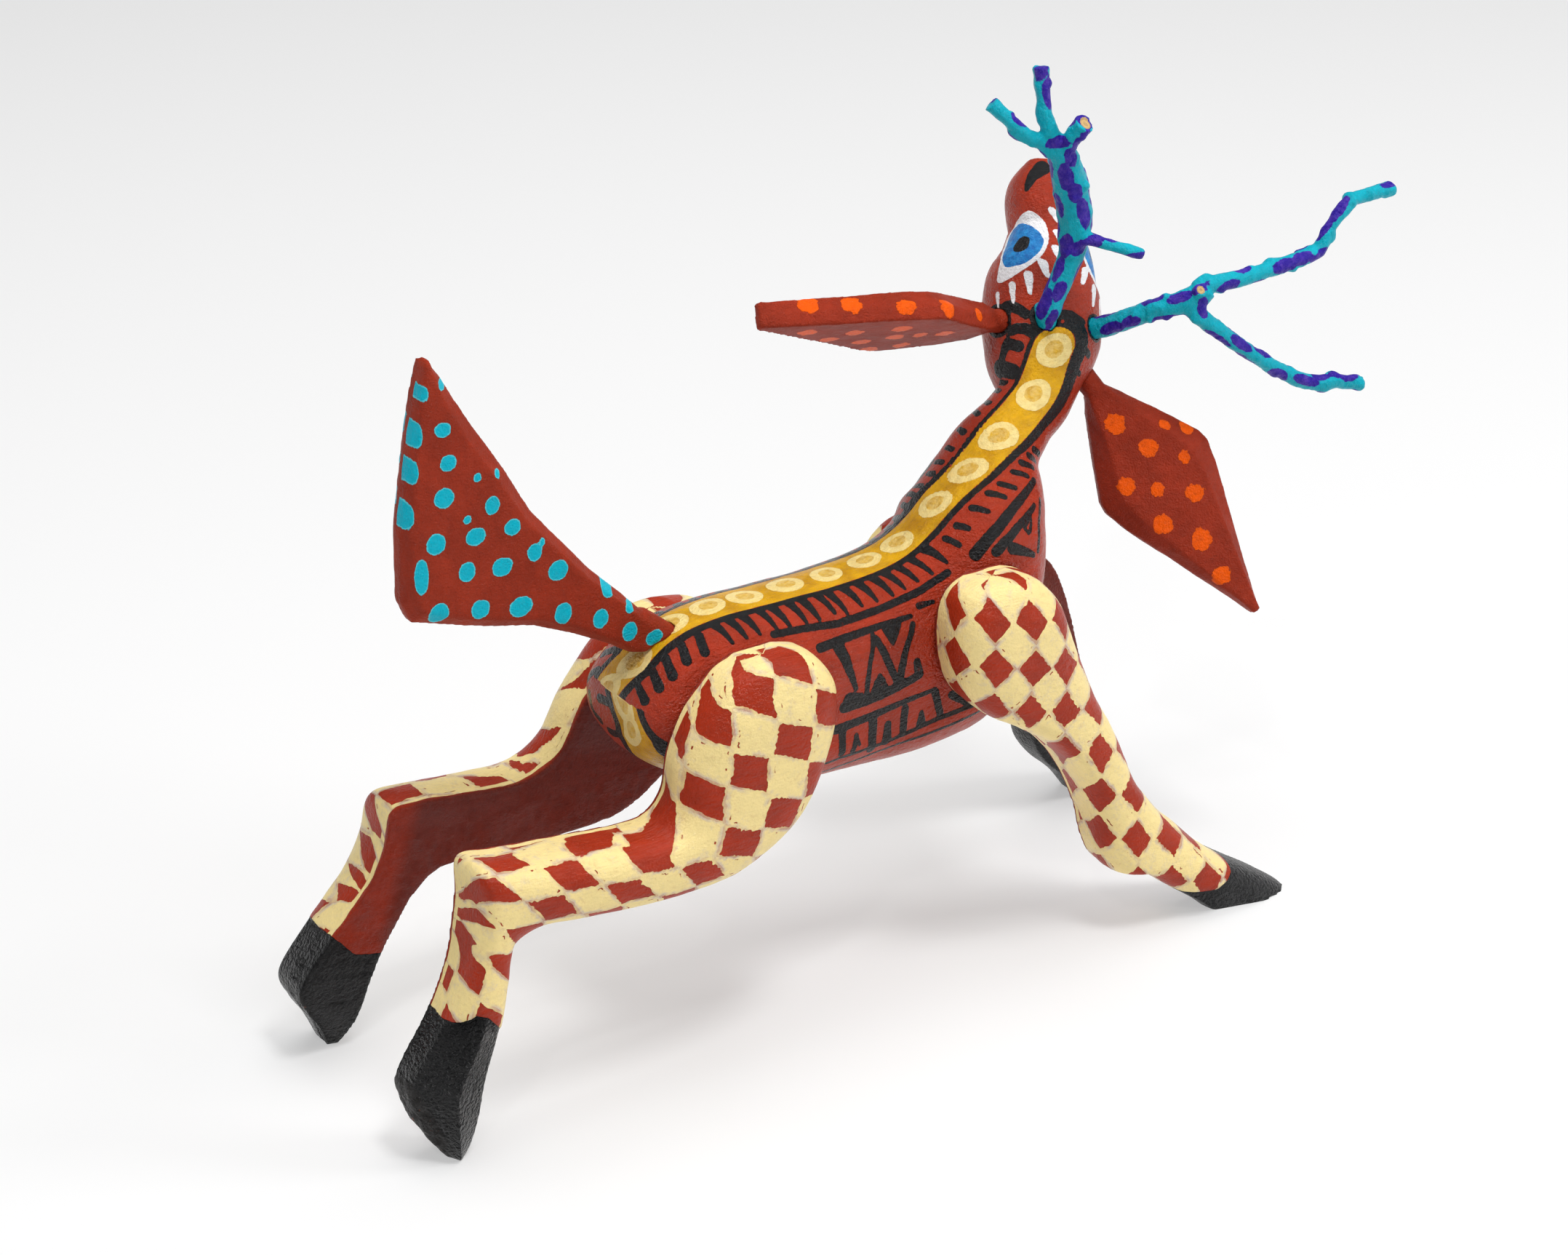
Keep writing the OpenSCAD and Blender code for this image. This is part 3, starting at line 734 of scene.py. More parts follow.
EGGS = [
    (89.6, 10.5, 142.2), (78.9, 7, 134.4), (65.9, 2.3, 127.4), (55.1, 1.4, 121.3), (44.8, 0.7, 114.9),
    (33.4, 0, 107.6), (23.7, 1, 105.2), (12.2, -0.2, 104.6), (0.6, 1.5, 104.4), (-11.4, 0, 104.6),
    (-21.7, 1.2, 104.5), (-32.5, 0.2, 102.6), (-43.1, -1.9, 96.1), (-48.3, -3.6, 88.4),
    (-48.6, -8.2, 82.4),
]

# strokes on the right side, copied to the left: points, half width at the start, half width at the end
SIDE_STROKES = [
    # zigzag panel on the flank
    ([(-1, -17, 95), (7.5, -16.5, 95.5), (17, -16.5, 96), (25.5, -17, 96.5)], 0.95, 0.5),
    ([(4, -17.5, 94), (5.5, -18.5, 90), (8.5, -18.5, 82)], 1.3, 0.5),
    ([(14, -17, 94.5), (12.5, -18.5, 88), (11.5, -18.5, 80)], 0.5, 0.6),
    ([(14.5, -17.5, 93.5), (17, -18.5, 88.5), (20.5, -18.5, 81)], 0.8, 0.75),
    ([(25.5, -17.5, 94.5), (23, -18.5, 88.5), (21, -18.5, 80)], 0.6, 1.0),
    ([(17.5, -17, 95), (18.8, -18.5, 91.5)], 0.5, 0.3),
    ([(22, -17, 95.5), (19.2, -18.5, 91)], 0.5, 0.3),
    ([(19.8, -17, 95), (19.3, -18.3, 92.5)], 1.2, 0.6),
    ([(15.4, -18.5, 83.6), (15.4, -18.5, 80)], 0.6, 2.2),
    ([(5.2, -18.5, 78.3), (12, -18.5, 78.4), (19.5, -18.5, 79.2), (26, -18.5, 80.5)], 1.3, 0.9),
    ([(6.5, -18.5, 80), (9.5, -18.5, 79.6)], 1.4, 1.0),
    ([(26.3, -18.5, 84.5), (27.2, -18.5, 81)], 0.8, 1.0),
    # toothed strip under it
    ([(2.5, -18.5, 73), (11, -18.5, 73.6), (20.5, -18.5, 74.7), (32, -18.5, 75.8)], 1.0, 0.45),
    ([(4.5, -18.5, 72), (4.5, -18, 66)], 0.85, 0.8),
    ([(8.6, -18.5, 70), (7.8, -18, 65.8)], 0.45, 0.6),
    ([(8.6, -18.5, 70), (9.6, -18.3, 67)], 0.4, 0.35),
    ([(13.5, -18.5, 72.5), (13.3, -17.5, 64.5)], 1.0, 0.9),
    ([(18, -18.5, 70.3), (17.6, -18.5, 65.8)], 0.8, 1.1),
    ([(23, -18.5, 73), (22.5, -18.5, 67.4)], 0.9, 0.85),
    ([(28, -18.5, 70.8), (27.9, -18.5, 67.8)], 0.5, 1.1),
    ([(32, -18.5, 75), (33.6, -18.5, 69)], 0.9, 0.8),
    ([(37, -18.5, 73), (42, -18.3, 69.2)], 0.9, 0.5),
    ([(-3, -16.8, 64.2), (17.5, -18, 65.4), (32.5, -18.5, 67.6), (46, -18.3, 68.6)], 0.35, 0.55),
    ([(-1, -14.5, 60.2), (21, -17.6, 63.4), (47.5, -17, 66)], 0.35, 0.35),
    # line under the row of ticks, and the blots beside it
    ([(-12, -13.2, 99.8), (-4.5, -13.6, 99.5), (6, -14.4, 98.6), (17.5, -14.3, 99.2), (29.5, -14.2, 100.8),
      (38.5, -13.8, 103.4)], 0.75, 0.75),
    ([(28.5, -16, 98), (32.5, -16.2, 98.2)], 0.75, 0.45),
    # bars, triangle and blot at the foot of the neck
    ([(70, -7.5, 118.5), (59, -12.5, 115), (46, -15, 107)], 0.7, 1.3),
    ([(66.5, -12, 114), (58.5, -14.8, 111.2), (51, -16.4, 107)], 0.55, 1.1),
    ([(70, -10, 114), (65.5, -14, 109), (63.5, -16.5, 104)], 0.5, 0.5),
    ([(63.5, -13.7, 112.5), (59.8, -15, 110.4), (61.2, -15.9, 108.6), (63.3, -14.4, 111.8)], 0.4, 0.4),
    ([(55.2, -17, 107), (58.5, -17, 105.4), (61.5, -17, 103.8)], 1.2, 0.6),
]
# strokes on the left of the crown only
CROWN_STROKES = [
    ([(82.5, 21.3, 152.3), (81, 24.8, 145.5), (78.5, 23.5, 140.5), (76.5, 21.5, 136)], 0.95, 0.5),
    ([(82, 22, 152.3), (83.5, 20, 152.2), (84.6, 17.5, 151)], 0.85, 0.75),
    ([(81, 18.6, 147), (83, 17, 148.1), (84.8, 15.3, 147)], 0.75, 0.85),
    ([(79, 21.5, 142.6), (80, 18.5, 144), (81.5, 16, 143.5)], 0.75, 0.85),
    ([(78.2, 20.3, 137.5), (78.5, 14.2, 138)], 1.3, 1.1),
    ([(93, 14.4, 149.9), (96, 14, 149.7), (98.8, 12.6, 147.6)], 0.8, 0.6),
    ([(98.3, 9.8, 140.4), (98.8, 10, 139.6)], 0.6, 0.6),
    ([(94, 8, 136.6), (94.6, 8.3, 136)], 0.6, 0.5),
]
NOSE_STROKES = [([(99.3, 37.6, 175.6), (102, 38.8, 178.3), (106, 39.5, 180.2)], 0.8, 2.6)]

HEAD_MID = np.array([100.6, 31.0, 155.8])
HEAD_RIGHT = unit(np.array([0.934, -0.225, -0.282]))
EYE_AT = np.array([91.5, 29.5, 164.0])
EYE_LONG = unit(np.array([14, 7.5, 14.0]))
EYE_ACROSS = np.array([3, -12.5, 2.0])
EYE_ACROSS = unit(EYE_ACROSS - (EYE_ACROSS @ EYE_LONG) * EYE_LONG)
EYE_OUT = np.cross(EYE_ACROSS, EYE_LONG)
EYE_WHITE = [
    (10.4, -1.2), (9.8, 1.4), (7.5, 3.8), (4.5, 5.4), (1, 5.9), (-3, 5.5), (-7, 3.5), (-9.5, 1.5),
    (-11, -1), (-10.5, -2.6), (-8, -3.2), (-4.5, -4), (0.5, -6.6), (4, -7.4), (7, -6), (9, -3.8),
]
EYE_IRIS = [
    (7.4, -3), (6.7, 0), (5.5, 2.6), (3.5, 4.6), (1, 5.2), (-1.8, 4.8), (-4.6, 3.6), (-6.2, 1.5),
    (-6.8, -0.8), (-4.8, -3), (0, -5.4), (4.5, -6.3), (6.9, -5),
]
LASHES = [
    ([(13, 3, 0), (10.9, 4.6, 0)], 1.0, 0.65), ([(7.9, 5.6, 0), (5.6, 7.2, 0)], 1.0, 0.7),
    ([(3.3, 6.9, 0), (0.8, 8.5, 0)], 1.1, 0.8),
    ([(-2, 6, 0), (-5.2, 7.8, 0)], 1.15, 0.6), ([(-6.2, 4.6, 0), (-11, 6, 0)], 1.2, 0.45),
    ([(-10, 1.8, 0), (-14.6, 3, 0)], 1.1, 0.45),
    ([(-12.8, -2, 0), (-16.6, -0.8, 0)], 0.8, 0.3),
]


def head_mirror(p):
    return p - 2 * ((p - HEAD_MID) @ HEAD_RIGHT)[:, None] * HEAD_RIGHT


def eye_fields(p):
    """Distances to the white, iris, pupil and lash marks of the left eye."""
    d = p - EYE_AT
    a, b, c = d @ EYE_LONG, d @ EYE_ACROSS, d @ EYE_OUT
    near = (np.abs(a) < 20) & (np.abs(b) < 14) & (c > -7)
    out = [np.full(len(p), FAR) for _ in range(4)]
    a, b = a[near], b[near]
    out[0][near] = polygon_field(a, b, smooth_loop(EYE_WHITE))
    out[1][near] = polygon_field(a, b, smooth_loop(EYE_IRIS))
    out[2][near] = (np.hypot((a - 0.6) / 2.7, (b - 0.2) / 2.1) - 1) * 2.3
    lashes = []
    for points, w0, w1 in LASHES:
        root, tip = np.array(points, float)
        lashes.append(([root + 0.28 * (tip - root), root + 1.2 * (tip - root)], 0.85 * w0, 0.85 * w1))
    out[3][near] = stroke_field(np.stack([a, b, 0 * a], 1), lashes)
    return out


# radius of the black round a socket
SOCKET_BLACK = (("antler_left", 4.2), ("antler_right", 3.7), ("ear_left", 4.3))


def lay(stroke, wider=1.0):
    """A stroke laid on the trunk's skin in short steps."""
    points, w0, w1 = stroke
    pts = np.array(points, float)
    run = run_length(pts)
    at = np.linspace(0, run[-1], max(int(run[-1] / 1.5), 1) + 1)
    fine_points = np.stack([np.interp(at, run, pts[:, c]) for c in range(3)], 1)
    on_skin = loft.find(fine_points)[0]
    on_skin[:, 1] = np.where(on_skin[:, 0] < 80, np.clip(on_skin[:, 1], -FLAT_Y, FLAT_Y), on_skin[:, 1])
    return on_skin, w0 * wider, w1 * wider


def band_strokes(rng):
    """The short strokes beside the band, right side first, then left."""
    out = []
    for side in (-1, 1):
        u = -7.0
        while u < BAND_ROUND:
            half = float(band_half(u))
            jit = rng.uniform(-0.5, 0.5, 4)
            if u < 30:  # loose drops over the rump
                near, far, step = half + 2.8, half + 7.4 + jit[0], 4.9
                w0, w1, lean = 1.0 + 0.3 * jit[1], 1.25, -1.2
            elif u < 98:  # teeth hanging from the band's outline
                near, far, step = half + 1.0, half + 8.0 + jit[0], 4.2
                w0, w1, lean = 1.4 + 0.4 * jit[1], 0.55, 1.6
            else:  # bars up the neck
                near, far, step = half + 4.0, half + 7.2 + jit[0], 4.4
                w0, w1, lean = 0.95 + 0.3 * jit[1], 0.8, 0.9
            if u < 135 or side < 0 and u < 146:
                swing, at = float(rump_lean(u)), u + jit[2]
                steps = ((0, near), (lean * 0.6, (near + far) / 2), (lean, far))
                out.append(lay(([on_trunk(at + du, swing + side * dv) for du, dv in steps], w0, w1)))
            u += step + 0.7 * jit[3]
    return out


def trunk_fields(p, u, v, rng):
    """Distances to everything painted on the trunk."""
    ub, vb = band_chart(p, u, v)
    vb = vb - rump_lean(ub)
    half = band_half(ub)
    ochre = np.maximum(np.abs(vb) - half, np.maximum(BAND_FROM - ub, ub - BAND_TO))
    crown = np.hypot(np.maximum(ub - BAND_ROUND, 0) * 1.1, vb) - half
    ochre = np.where(ub > BAND_ROUND, crown, ochre)
    # half the width of the black outline, wider in places on the left of the neck
    ring = np.interp(
        ub, [-16, 20, 38, 60, 92, 102, 112, 122, 140, 162],
        [1.5, 0.8, 0.9, 1.05, 1.3, 1.9, 1.2, 0.7, 0.55, 0.6]
    )
    ring = np.where(
        vb > 0, np.interp(ub, [-16, 60, 125, 140, 150, 162], [1.5, 0.7, 1.0, 1.4, 1.9, 2.0]), ring
    )
    black = np.abs(ochre - ring - 0.1) - ring
    black = np.where(ub < BAND_FROM, FAR, black)
    side = [lay(s, 1.3) for s in SIDE_STROKES]
    strokes = side + [(other_side(s), a, b) for s, a, b in side]
    strokes += [lay(s, 1.75) for s in CROWN_STROKES]
    strokes += band_strokes(rng)
    strokes += NOSE_STROKES + [(head_mirror(np.array(s, float)), a, b) for s, a, b in NOSE_STROKES]
    marks = stroke_field(p, strokes)
    marks = np.minimum(marks, dot_field(p, [(*SOCKETS[node], r) for node, r in SOCKET_BLACK]))
    # the band is painted over the marks near it
    black = np.minimum(black, np.maximum(marks, -(ochre - 0.3)))
    egg, yolk = np.full(len(p), FAR), np.full(len(p), FAR)
    eu, ev = loft.find(EGGS)[2:4]
    eu, ev = band_chart(np.array(EGGS, float), eu, ev)
    ev = ev - rump_lean(eu)
    for i in range(len(EGGS)):
        a, b = 4.5 + rng.uniform(-0.3, 0.4), 3.8 + rng.uniform(-0.3, 0.3)
        skew = rng.uniform(-0.15, 0.15)
        if i < 4:
            a, b = a + 0.3, b + 0.6
        if i >= 12:
            a, b = 5.0, 4.4
        if i == len(EGGS) - 1:
            a, b, skew = 3.4, 4.2, 0.6
        du, dv = ub - eu[i], vb - ev[i] * (0.3 if i < 12 else 0.8)
        du = du + skew * dv
        near = (np.abs(du) < 9) & (np.abs(dv) < 9)
        egg[near] = np.minimum(egg[near], (np.hypot(du[near] / a, dv[near] / b) - 1) * b)
        yolk[near] = np.minimum(yolk[near], (np.hypot((du[near] - 0.3) / a, (dv[near] + 0.2) / b) - 0.52) * b)
    both_eyes = zip(eye_fields(p), eye_fields(head_mirror(p)))
    white, iris, pupil, lash = (np.minimum(a, b) for a, b in both_eyes)
    return {
        "ochre": ochre, "black": black, "egg": egg, "yolk": yolk,
        "white": np.minimum(white, lash), "iris": iris, "pupil": pupil,
    }


def trunk_paint():
    """Brushed red with the band, its ovals, the black marks and the eyes laid over it in that order."""
    m = Nodes("painted_trunk")
    ground = brush_red(m)
    edge = m.add(m.signed(1.6, 0.16, 2), m.signed(0.5, 0.10, 1))

    def mask(name):
        return m.inside(m.add(m.field(name), edge))

    ochre, egg, yolk, black = mask("ochre"), mask("egg"), mask("yolk"), mask("black")
    white, iris, pupil = mask("white"), mask("iris"), mask("pupil")
    streak = m.noise(1.4, 3.0, 0.6, vector=m.stretched(0.3, 1, 0.6))
    c_ochre = m.shade(m.over(OCHRE, OCHRE_DARK, m.ramp(m.noise(6, 2, 0.6), 0.42, 0.78)), 0.9, 1.12, streak)
    c = m.over(ground, c_ochre, ochre)
    thin = m.ramp(m.noise(1.8, 3.0, 0.7), 0.30, 0.62, 0.72, 1.0)
    c = m.over(c, m.shade(EGG, 0.93, 1.03, streak), m.mul(egg, thin))
    swirl = m.ramp(m.noise(1.2, 3.0, 0.7), 0.36, 0.68, 0.45, 0.95)
    c_yolk = m.over(srgb(222, 172, 40), srgb(200, 146, 8), m.ramp(m.noise(2.2, 2.0, 0.6), 0.4, 0.65))
    c = m.over(c, c_yolk, m.mul(yolk, swirl))
    worn = m.ramp(m.noise(2.6, 3.0, 0.7), 0.24, 0.36, 0.82, 1.0)
    c = m.over(c, m.shade(BLACK, 0.8, 1.5, m.noise(1.5, 3, 0.7)), m.mul(black, worn))
    c = m.over(c, m.shade(WHITE, 0.9, 1.03, m.noise(1.2, 3, 0.7)), white)
    c_iris = m.over(srgb(14, 98, 172), srgb(38, 142, 208), m.ramp(m.noise(1.6, 3, 0.7), 0.35, 0.65))
    c = m.over(c, c_iris, iris)
    c = m.over(c, BLACK, pupil)
    rough = m.ramp(m.noise(5, 3, 0.6), 0.3, 0.7, 0.30, 0.46)
    rough = m.over_value(rough, 0.26, black)
    paint = m.add(m.mul(black, 0.05), m.add(m.mul(egg, 0.05), m.mul(white, 0.05)))
    height = m.add(wood_height(m, (0.14, 1, 1), 0.5, 0.6, 0.7), m.mul(m.noise(1.7, 3.0, 0.6), 0.2), paint)
    return m.finish(c, rough, height, coat=0.5, coat_rough=0.05, specular=0.06)


def make_trunk():
    """The trunk, laid back onto its loft except on the flats under the legs."""
    mesh, p, edges = detail_mesh("trunk", 0.52)
    p = relax(p, edges, 5)
    loc, dist, u, v, _ = loft.find(p)
    free = (dist < 0.5) & ~((np.abs(p[:, 1]) > FLAT_Y - 0.35) & (p[:, 0] < 81) & (p[:, 2] < 112))
    p = np.where(free[:, None], loc, p)
    p = relax(p, edges, 3)
    n = normals_of(mesh, p)
    bump = bumps(p, (0.16, 8.0, 3), (0.07, 3.0, 5), (0.02, 1.1, 6))
    p = p + n * np.where(dist < 0.5, bump, 0)[:, None]
    fields = trunk_fields(p, u, v, np.random.default_rng(11))
    finish_mesh("trunk", mesh, p, trunk_paint(), fields)


make_trunk()


# ------------------------------------------------------------------ legs
def leg_paint(name, glossy_hoof):
    """Cream checks over red; the plain inner face is its own unpainted red, darkened as painted shade."""
    m = Nodes(name)
    ground = brush_red(m)
    # on the flat inner face: its own unpainted red, darkened further as painted shade
    inner_face_and_shade = m.shade(RED_UNPAINTED_AND_SHADE, 0.85, 1.15, m.noise(3.0, 3.0, 0.65))
    high = m.field("height")
    painted = m.math("MAXIMUM", m.ramp(high, 0.02, 0.08), m.field("strip"))
    ground = m.over(inner_face_and_shade, ground, painted)

    def cells(name, w_slow, w_quick):
        """Which cell along one way of the grid, and the mm to that cell's nearest edge."""
        wander = m.add(m.signed(13, 1.2, 1, w=w_slow), m.signed(2.4, 0.35, 2, w=w_quick))
        a = m.mul(m.add(m.field(name), wander), 1 / CHECK)
        to_edge = m.sub(0.5, m.math("ABSOLUTE", m.sub(m.math("FRACT", a), 0.5)))
        return m.math("FLOOR", a), m.mul(to_edge, CHECK)

    row, row_edge = cells("row", 2.1, 3.3)
    column, column_edge = cells("column", 5.7, 7.9)
    parity = m.math("FLOORED_MODULO", m.add(row, column), 2.0)
    d = m.math("SMOOTH_MIN", row_edge, column_edge, 0.5)
    rag = m.signed(0.9, 0.16, 2, w=1.1)
    # the cream of a check swells over the red beside it
    line_half = m.ramp(m.noise(6.0, 2.0, 0.6, w=4.4), 0.35, 0.65, 0.22, 0.95)
    in_line = m.inside(m.add(m.sub(d, line_half), rag))
    cream_cell = m.inside(m.sub(parity, 0.5), 0.01)
    slit_here = m.ramp(m.noise(3.2, 2.0, 0.6, w=9.3), 0.60, 0.64)
    slit_line = m.inside(m.sub(m.math("ABSOLUTE", m.sub(d, 0.85)), 0.16))
    slit = m.mul(slit_here, m.mul(cream_cell, slit_line))
    checks = m.math("MAXIMUM", in_line, cream_cell)
    checks = m.math("SUBTRACT", checks, slit, clamp=True)
    rise = m.mul(high, LEG_T)
    checks = m.mul(checks, m.inside(m.add(m.sub(0.14 * LEG_T, rise), m.signed(2.2, 0.5, 2, w=6.6))))
    ring_half = m.ramp(m.noise(9.0, 2.0, 0.6, w=8.8), 0.3, 0.7, 0.5, 0.95)
    from_ring = m.math("ABSOLUTE", m.add(m.sub(rise, 0.11 * LEG_T), m.signed(7, 0.6, 1, w=1.9)))
    ring = m.inside(m.add(m.sub(from_ring, ring_half), m.mul(rag, 0.6)))
    cream = m.math("MAXIMUM", checks, ring)
    thin = m.ramp(m.noise(1.6, 3.0, 0.75, w=2.7), 0.30, 0.44, 0.86, 1.0)
    line_only = m.mul(in_line, m.sub(1.0, cream_cell))
    patches = m.noise(5.0, 2.0, 0.6, w=3.9)
    sheer = m.math("SUBTRACT", 1.0, m.mul(line_only, m.ramp(patches, 0.42, 0.62, 0.0, 0.42)), clamp=True)
    smudge = m.mul(m.ramp(m.noise(4.0, 4.0, 0.8, w=5.1), 0.54, 0.74), 0.5)
    rim = m.ramp(m.add(d, m.signed(1.0, 0.5, 3, w=6.1)), 0.9, 0.2)
    smudge = m.math("MAXIMUM", smudge, m.mul(rim, m.ramp(patches, 0.42, 0.6, 0.0, 0.75)))
    c_cream = m.over(m.shade(CREAM, 0.94, 1.03, m.noise(2.2, 3.0, 0.7)), LILAC_GREY, smudge)
    c = m.over(ground, c_cream, m.mul(cream, m.mul(thin, sheer)))
    hoof = m.inside(m.add(m.field("hoof"), m.signed(1.8, 0.22, 2)))
    sole = m.field("sole")
    hoof_black = srgb(9, 9, 10) if glossy_hoof else srgb(34, 34, 35)
    c_hoof = m.shade(hoof_black, 0.75, 1.5, m.noise(1.5, 4, 0.75, vector=m.stretched(0.35, 1, 0.35)))
    chips = m.mul(sole, m.ramp(m.noise(1.2, 2.0, 0.6, w=4.8), 0.66, 0.70))
    c_hoof = m.over(m.over(c_hoof, srgb(44, 42, 41), sole), srgb(116, 62, 44), chips)
    c = m.over(c, c_hoof, hoof)
    rough = m.over_value(m.ramp(m.noise(5, 3, 0.6), 0.3, 0.7, 0.36, 0.52), 0.44, cream)
    rough = m.over_value(0.66, rough, m.ramp(high, 0.02, 0.08))
    dull_hoof = m.math("MAXIMUM", sole, m.ramp(high, 0.10, 0.04))
    hoof_rough = m.over_value(0.12 if glossy_hoof else 0.42, 0.7, dull_hoof)
    rough = m.over_value(rough, hoof_rough, hoof)
    unpainted = m.math("MAXIMUM", sole, m.sub(1.0, m.ramp(high, 0.02, 0.08)))
    rough_wood = m.mul(unpainted, m.mul(m.noise(0.8, 3.0, 0.7), 0.35))
    pimples = m.mul(hoof, m.mul(m.noise(0.9, 2.0, 0.5, w=7.2), 0.45))
    height = m.add(wood_height(m, (0.2, 1, 0.5), 0.6, 0.6, 0.3), m.mul(cream, 0.05), rough_wood, pimples)
    return m.finish(c, rough, height, coat=0.35, coat_rough=0.05, specular=0.06)


# direction and reach of each hoof's sawn sole
SOLES = {"leg_rear_right": (-0.93, 0.0, -0.37, 104.3), "leg_rear_left": (-0.93, 0.0, -0.37, 106.6)}
HOOF_LINES = {
    "leg_rear_right": ([-114, -111.6, -107, -104, -100], [33.8, 35.2, 37.8, 36.6, 31.5]),
    "leg_rear_left": ([-114, -108.6, -101.5, -96], [33.8, 27.4, 25.6, 24.5]),
    "leg_front_right": ([98, 106.2, 108.9, 111.5, 113.4], [8.4, 7.8, 9.2, 11.1, 16]),
    "leg_front_left": ([92, 114], [32.5, 35.5]),
}


def hoof_field(node, p):
    """Distance above the line, given by x and z, where the black of the hoof begins."""
    return (p[:, 2] - np.interp(p[:, 0], *HOOF_LINES[node])) * 0.85


# the checks' grid: parts of the leg from the top down, each with the way along a row and the way down a
# column as x and z, and where the part joins the next along the leg
REAR_GRID = [
    ((10.4, -4.4), (-1.6, -8.8), 52.0),
    ((10.2, -0.8), (5.2, -7.4), 118.0),
    ((6.9, -6.2), (3.2, 7.4), 999.0),
]
FRONT_GRID = [((5.4, -7.2), (5.4, 4.8), 999.0)]
# whether the hoof is glossy, the grid, and the x and z where a red check has its middle
LEG_LOOK = {
    "leg_rear_right": (True, REAR_GRID, (-33.0, 79.0)),
    "leg_rear_left": (True, REAR_GRID, (-31.0, 74.0)),
    "leg_front_right": (False, FRONT_GRID, (60.0, 69.0)),
    "leg_front_left": (False, FRONT_GRID, (64.0, 72.0)),
}
CHECK = 8.8  # from one check to the next
# knife cuts on the hooves: each line runs between two places given across the leg (-1 back, 1 front) and
# through it (0 inner face, 1 outer)
HOOF_CUTS = {
    "leg_rear_right": [((-1.0, 0.55), (-0.08, 1.0)), ((-0.08, 1.0), (1.0, 0.72))],
    "leg_rear_left": [((-0.94, 0.0), (-0.86, 0.82)), ((-0.86, 0.82), (0.1, 1.0)), ((0.1, 1.0), (1.0, 0.7))],
    "leg_front_right": [((-1.0, 0.7), (0.2, 1.0))],
    "leg_front_left": [((-1.0, 0.7), (0.2, 1.0))],
}


def cut_hoof(node, p, skin, ring, sign, lo, hi, weight):
    """Flattens the hoof to its knife cuts."""
    back, front = at_ring(skin.rings[:, 1], ring), at_ring(skin.rings[:, -2], ring)
    mid, half = (back + front) / 2, (front - back) / 1.88
    reach = np.hypot(half[:, 0], half[:, 2])
    along = half / reach[:, None]
    p = p.copy()
    for (a0, b0), (a1, b1) in HOOF_CUTS[node]:
        q = np.stack([((p - mid) * along).sum(1), sign * p[:, 1] - FLAT_Y - lo], 1)
        start = np.stack([a0 * reach, b0 * (hi - lo)], 1)
        way = unit(np.stack([(a1 - a0) * reach, (b1 - b0) * (hi - lo)], 1))
        over = (q[:, 1] - start[:, 1]) * way[:, 0] - (q[:, 0] - start[:, 0]) * way[:, 1]
        over = np.maximum(over, 0) * weight
        p += along * (over * way[:, 1])[:, None]
        p[:, 1] -= sign * over * way[:, 0]
    return p


def unrolled(skin, v, ring):
    """x and z of each point once the rounded face is rolled out flat along its ring."""
    back, front = skin.rings[:, 1][:, [0, 2]], skin.rings[:, -2][:, [0, 2]]
    return at_ring((back + front) / 2, ring) + v[:, None] * unit(at_ring(unit(front - back), ring))


def check_grid(flat, u, grid, start, skin):
    """Row and column of the checks at each point, blended from one part of the leg to the next."""
    mid = (skin.rings[:, 1] + skin.rings[:, -2])[:, [0, 2]] / 2
    pivot, base, out, blend = start, np.array([1.5, 0.5]), None, None
    for row, column, join in grid:
        to_cells = np.linalg.inv(np.array([row, column]).T)
        g = base + (flat - pivot) @ to_cells.T
        out = g if out is None else out * (1 - blend) + g * blend
        joint = np.array([np.interp(join, skin.u[:, 0], mid[:, c]) for c in (0, 1)])
        base, pivot = base + to_cells @ (joint - pivot), joint
        blend = np.clip((u - join + 6) / 12, 0, 1)[:, None]
        blend = blend * blend * (3 - 2 * blend)
    return out


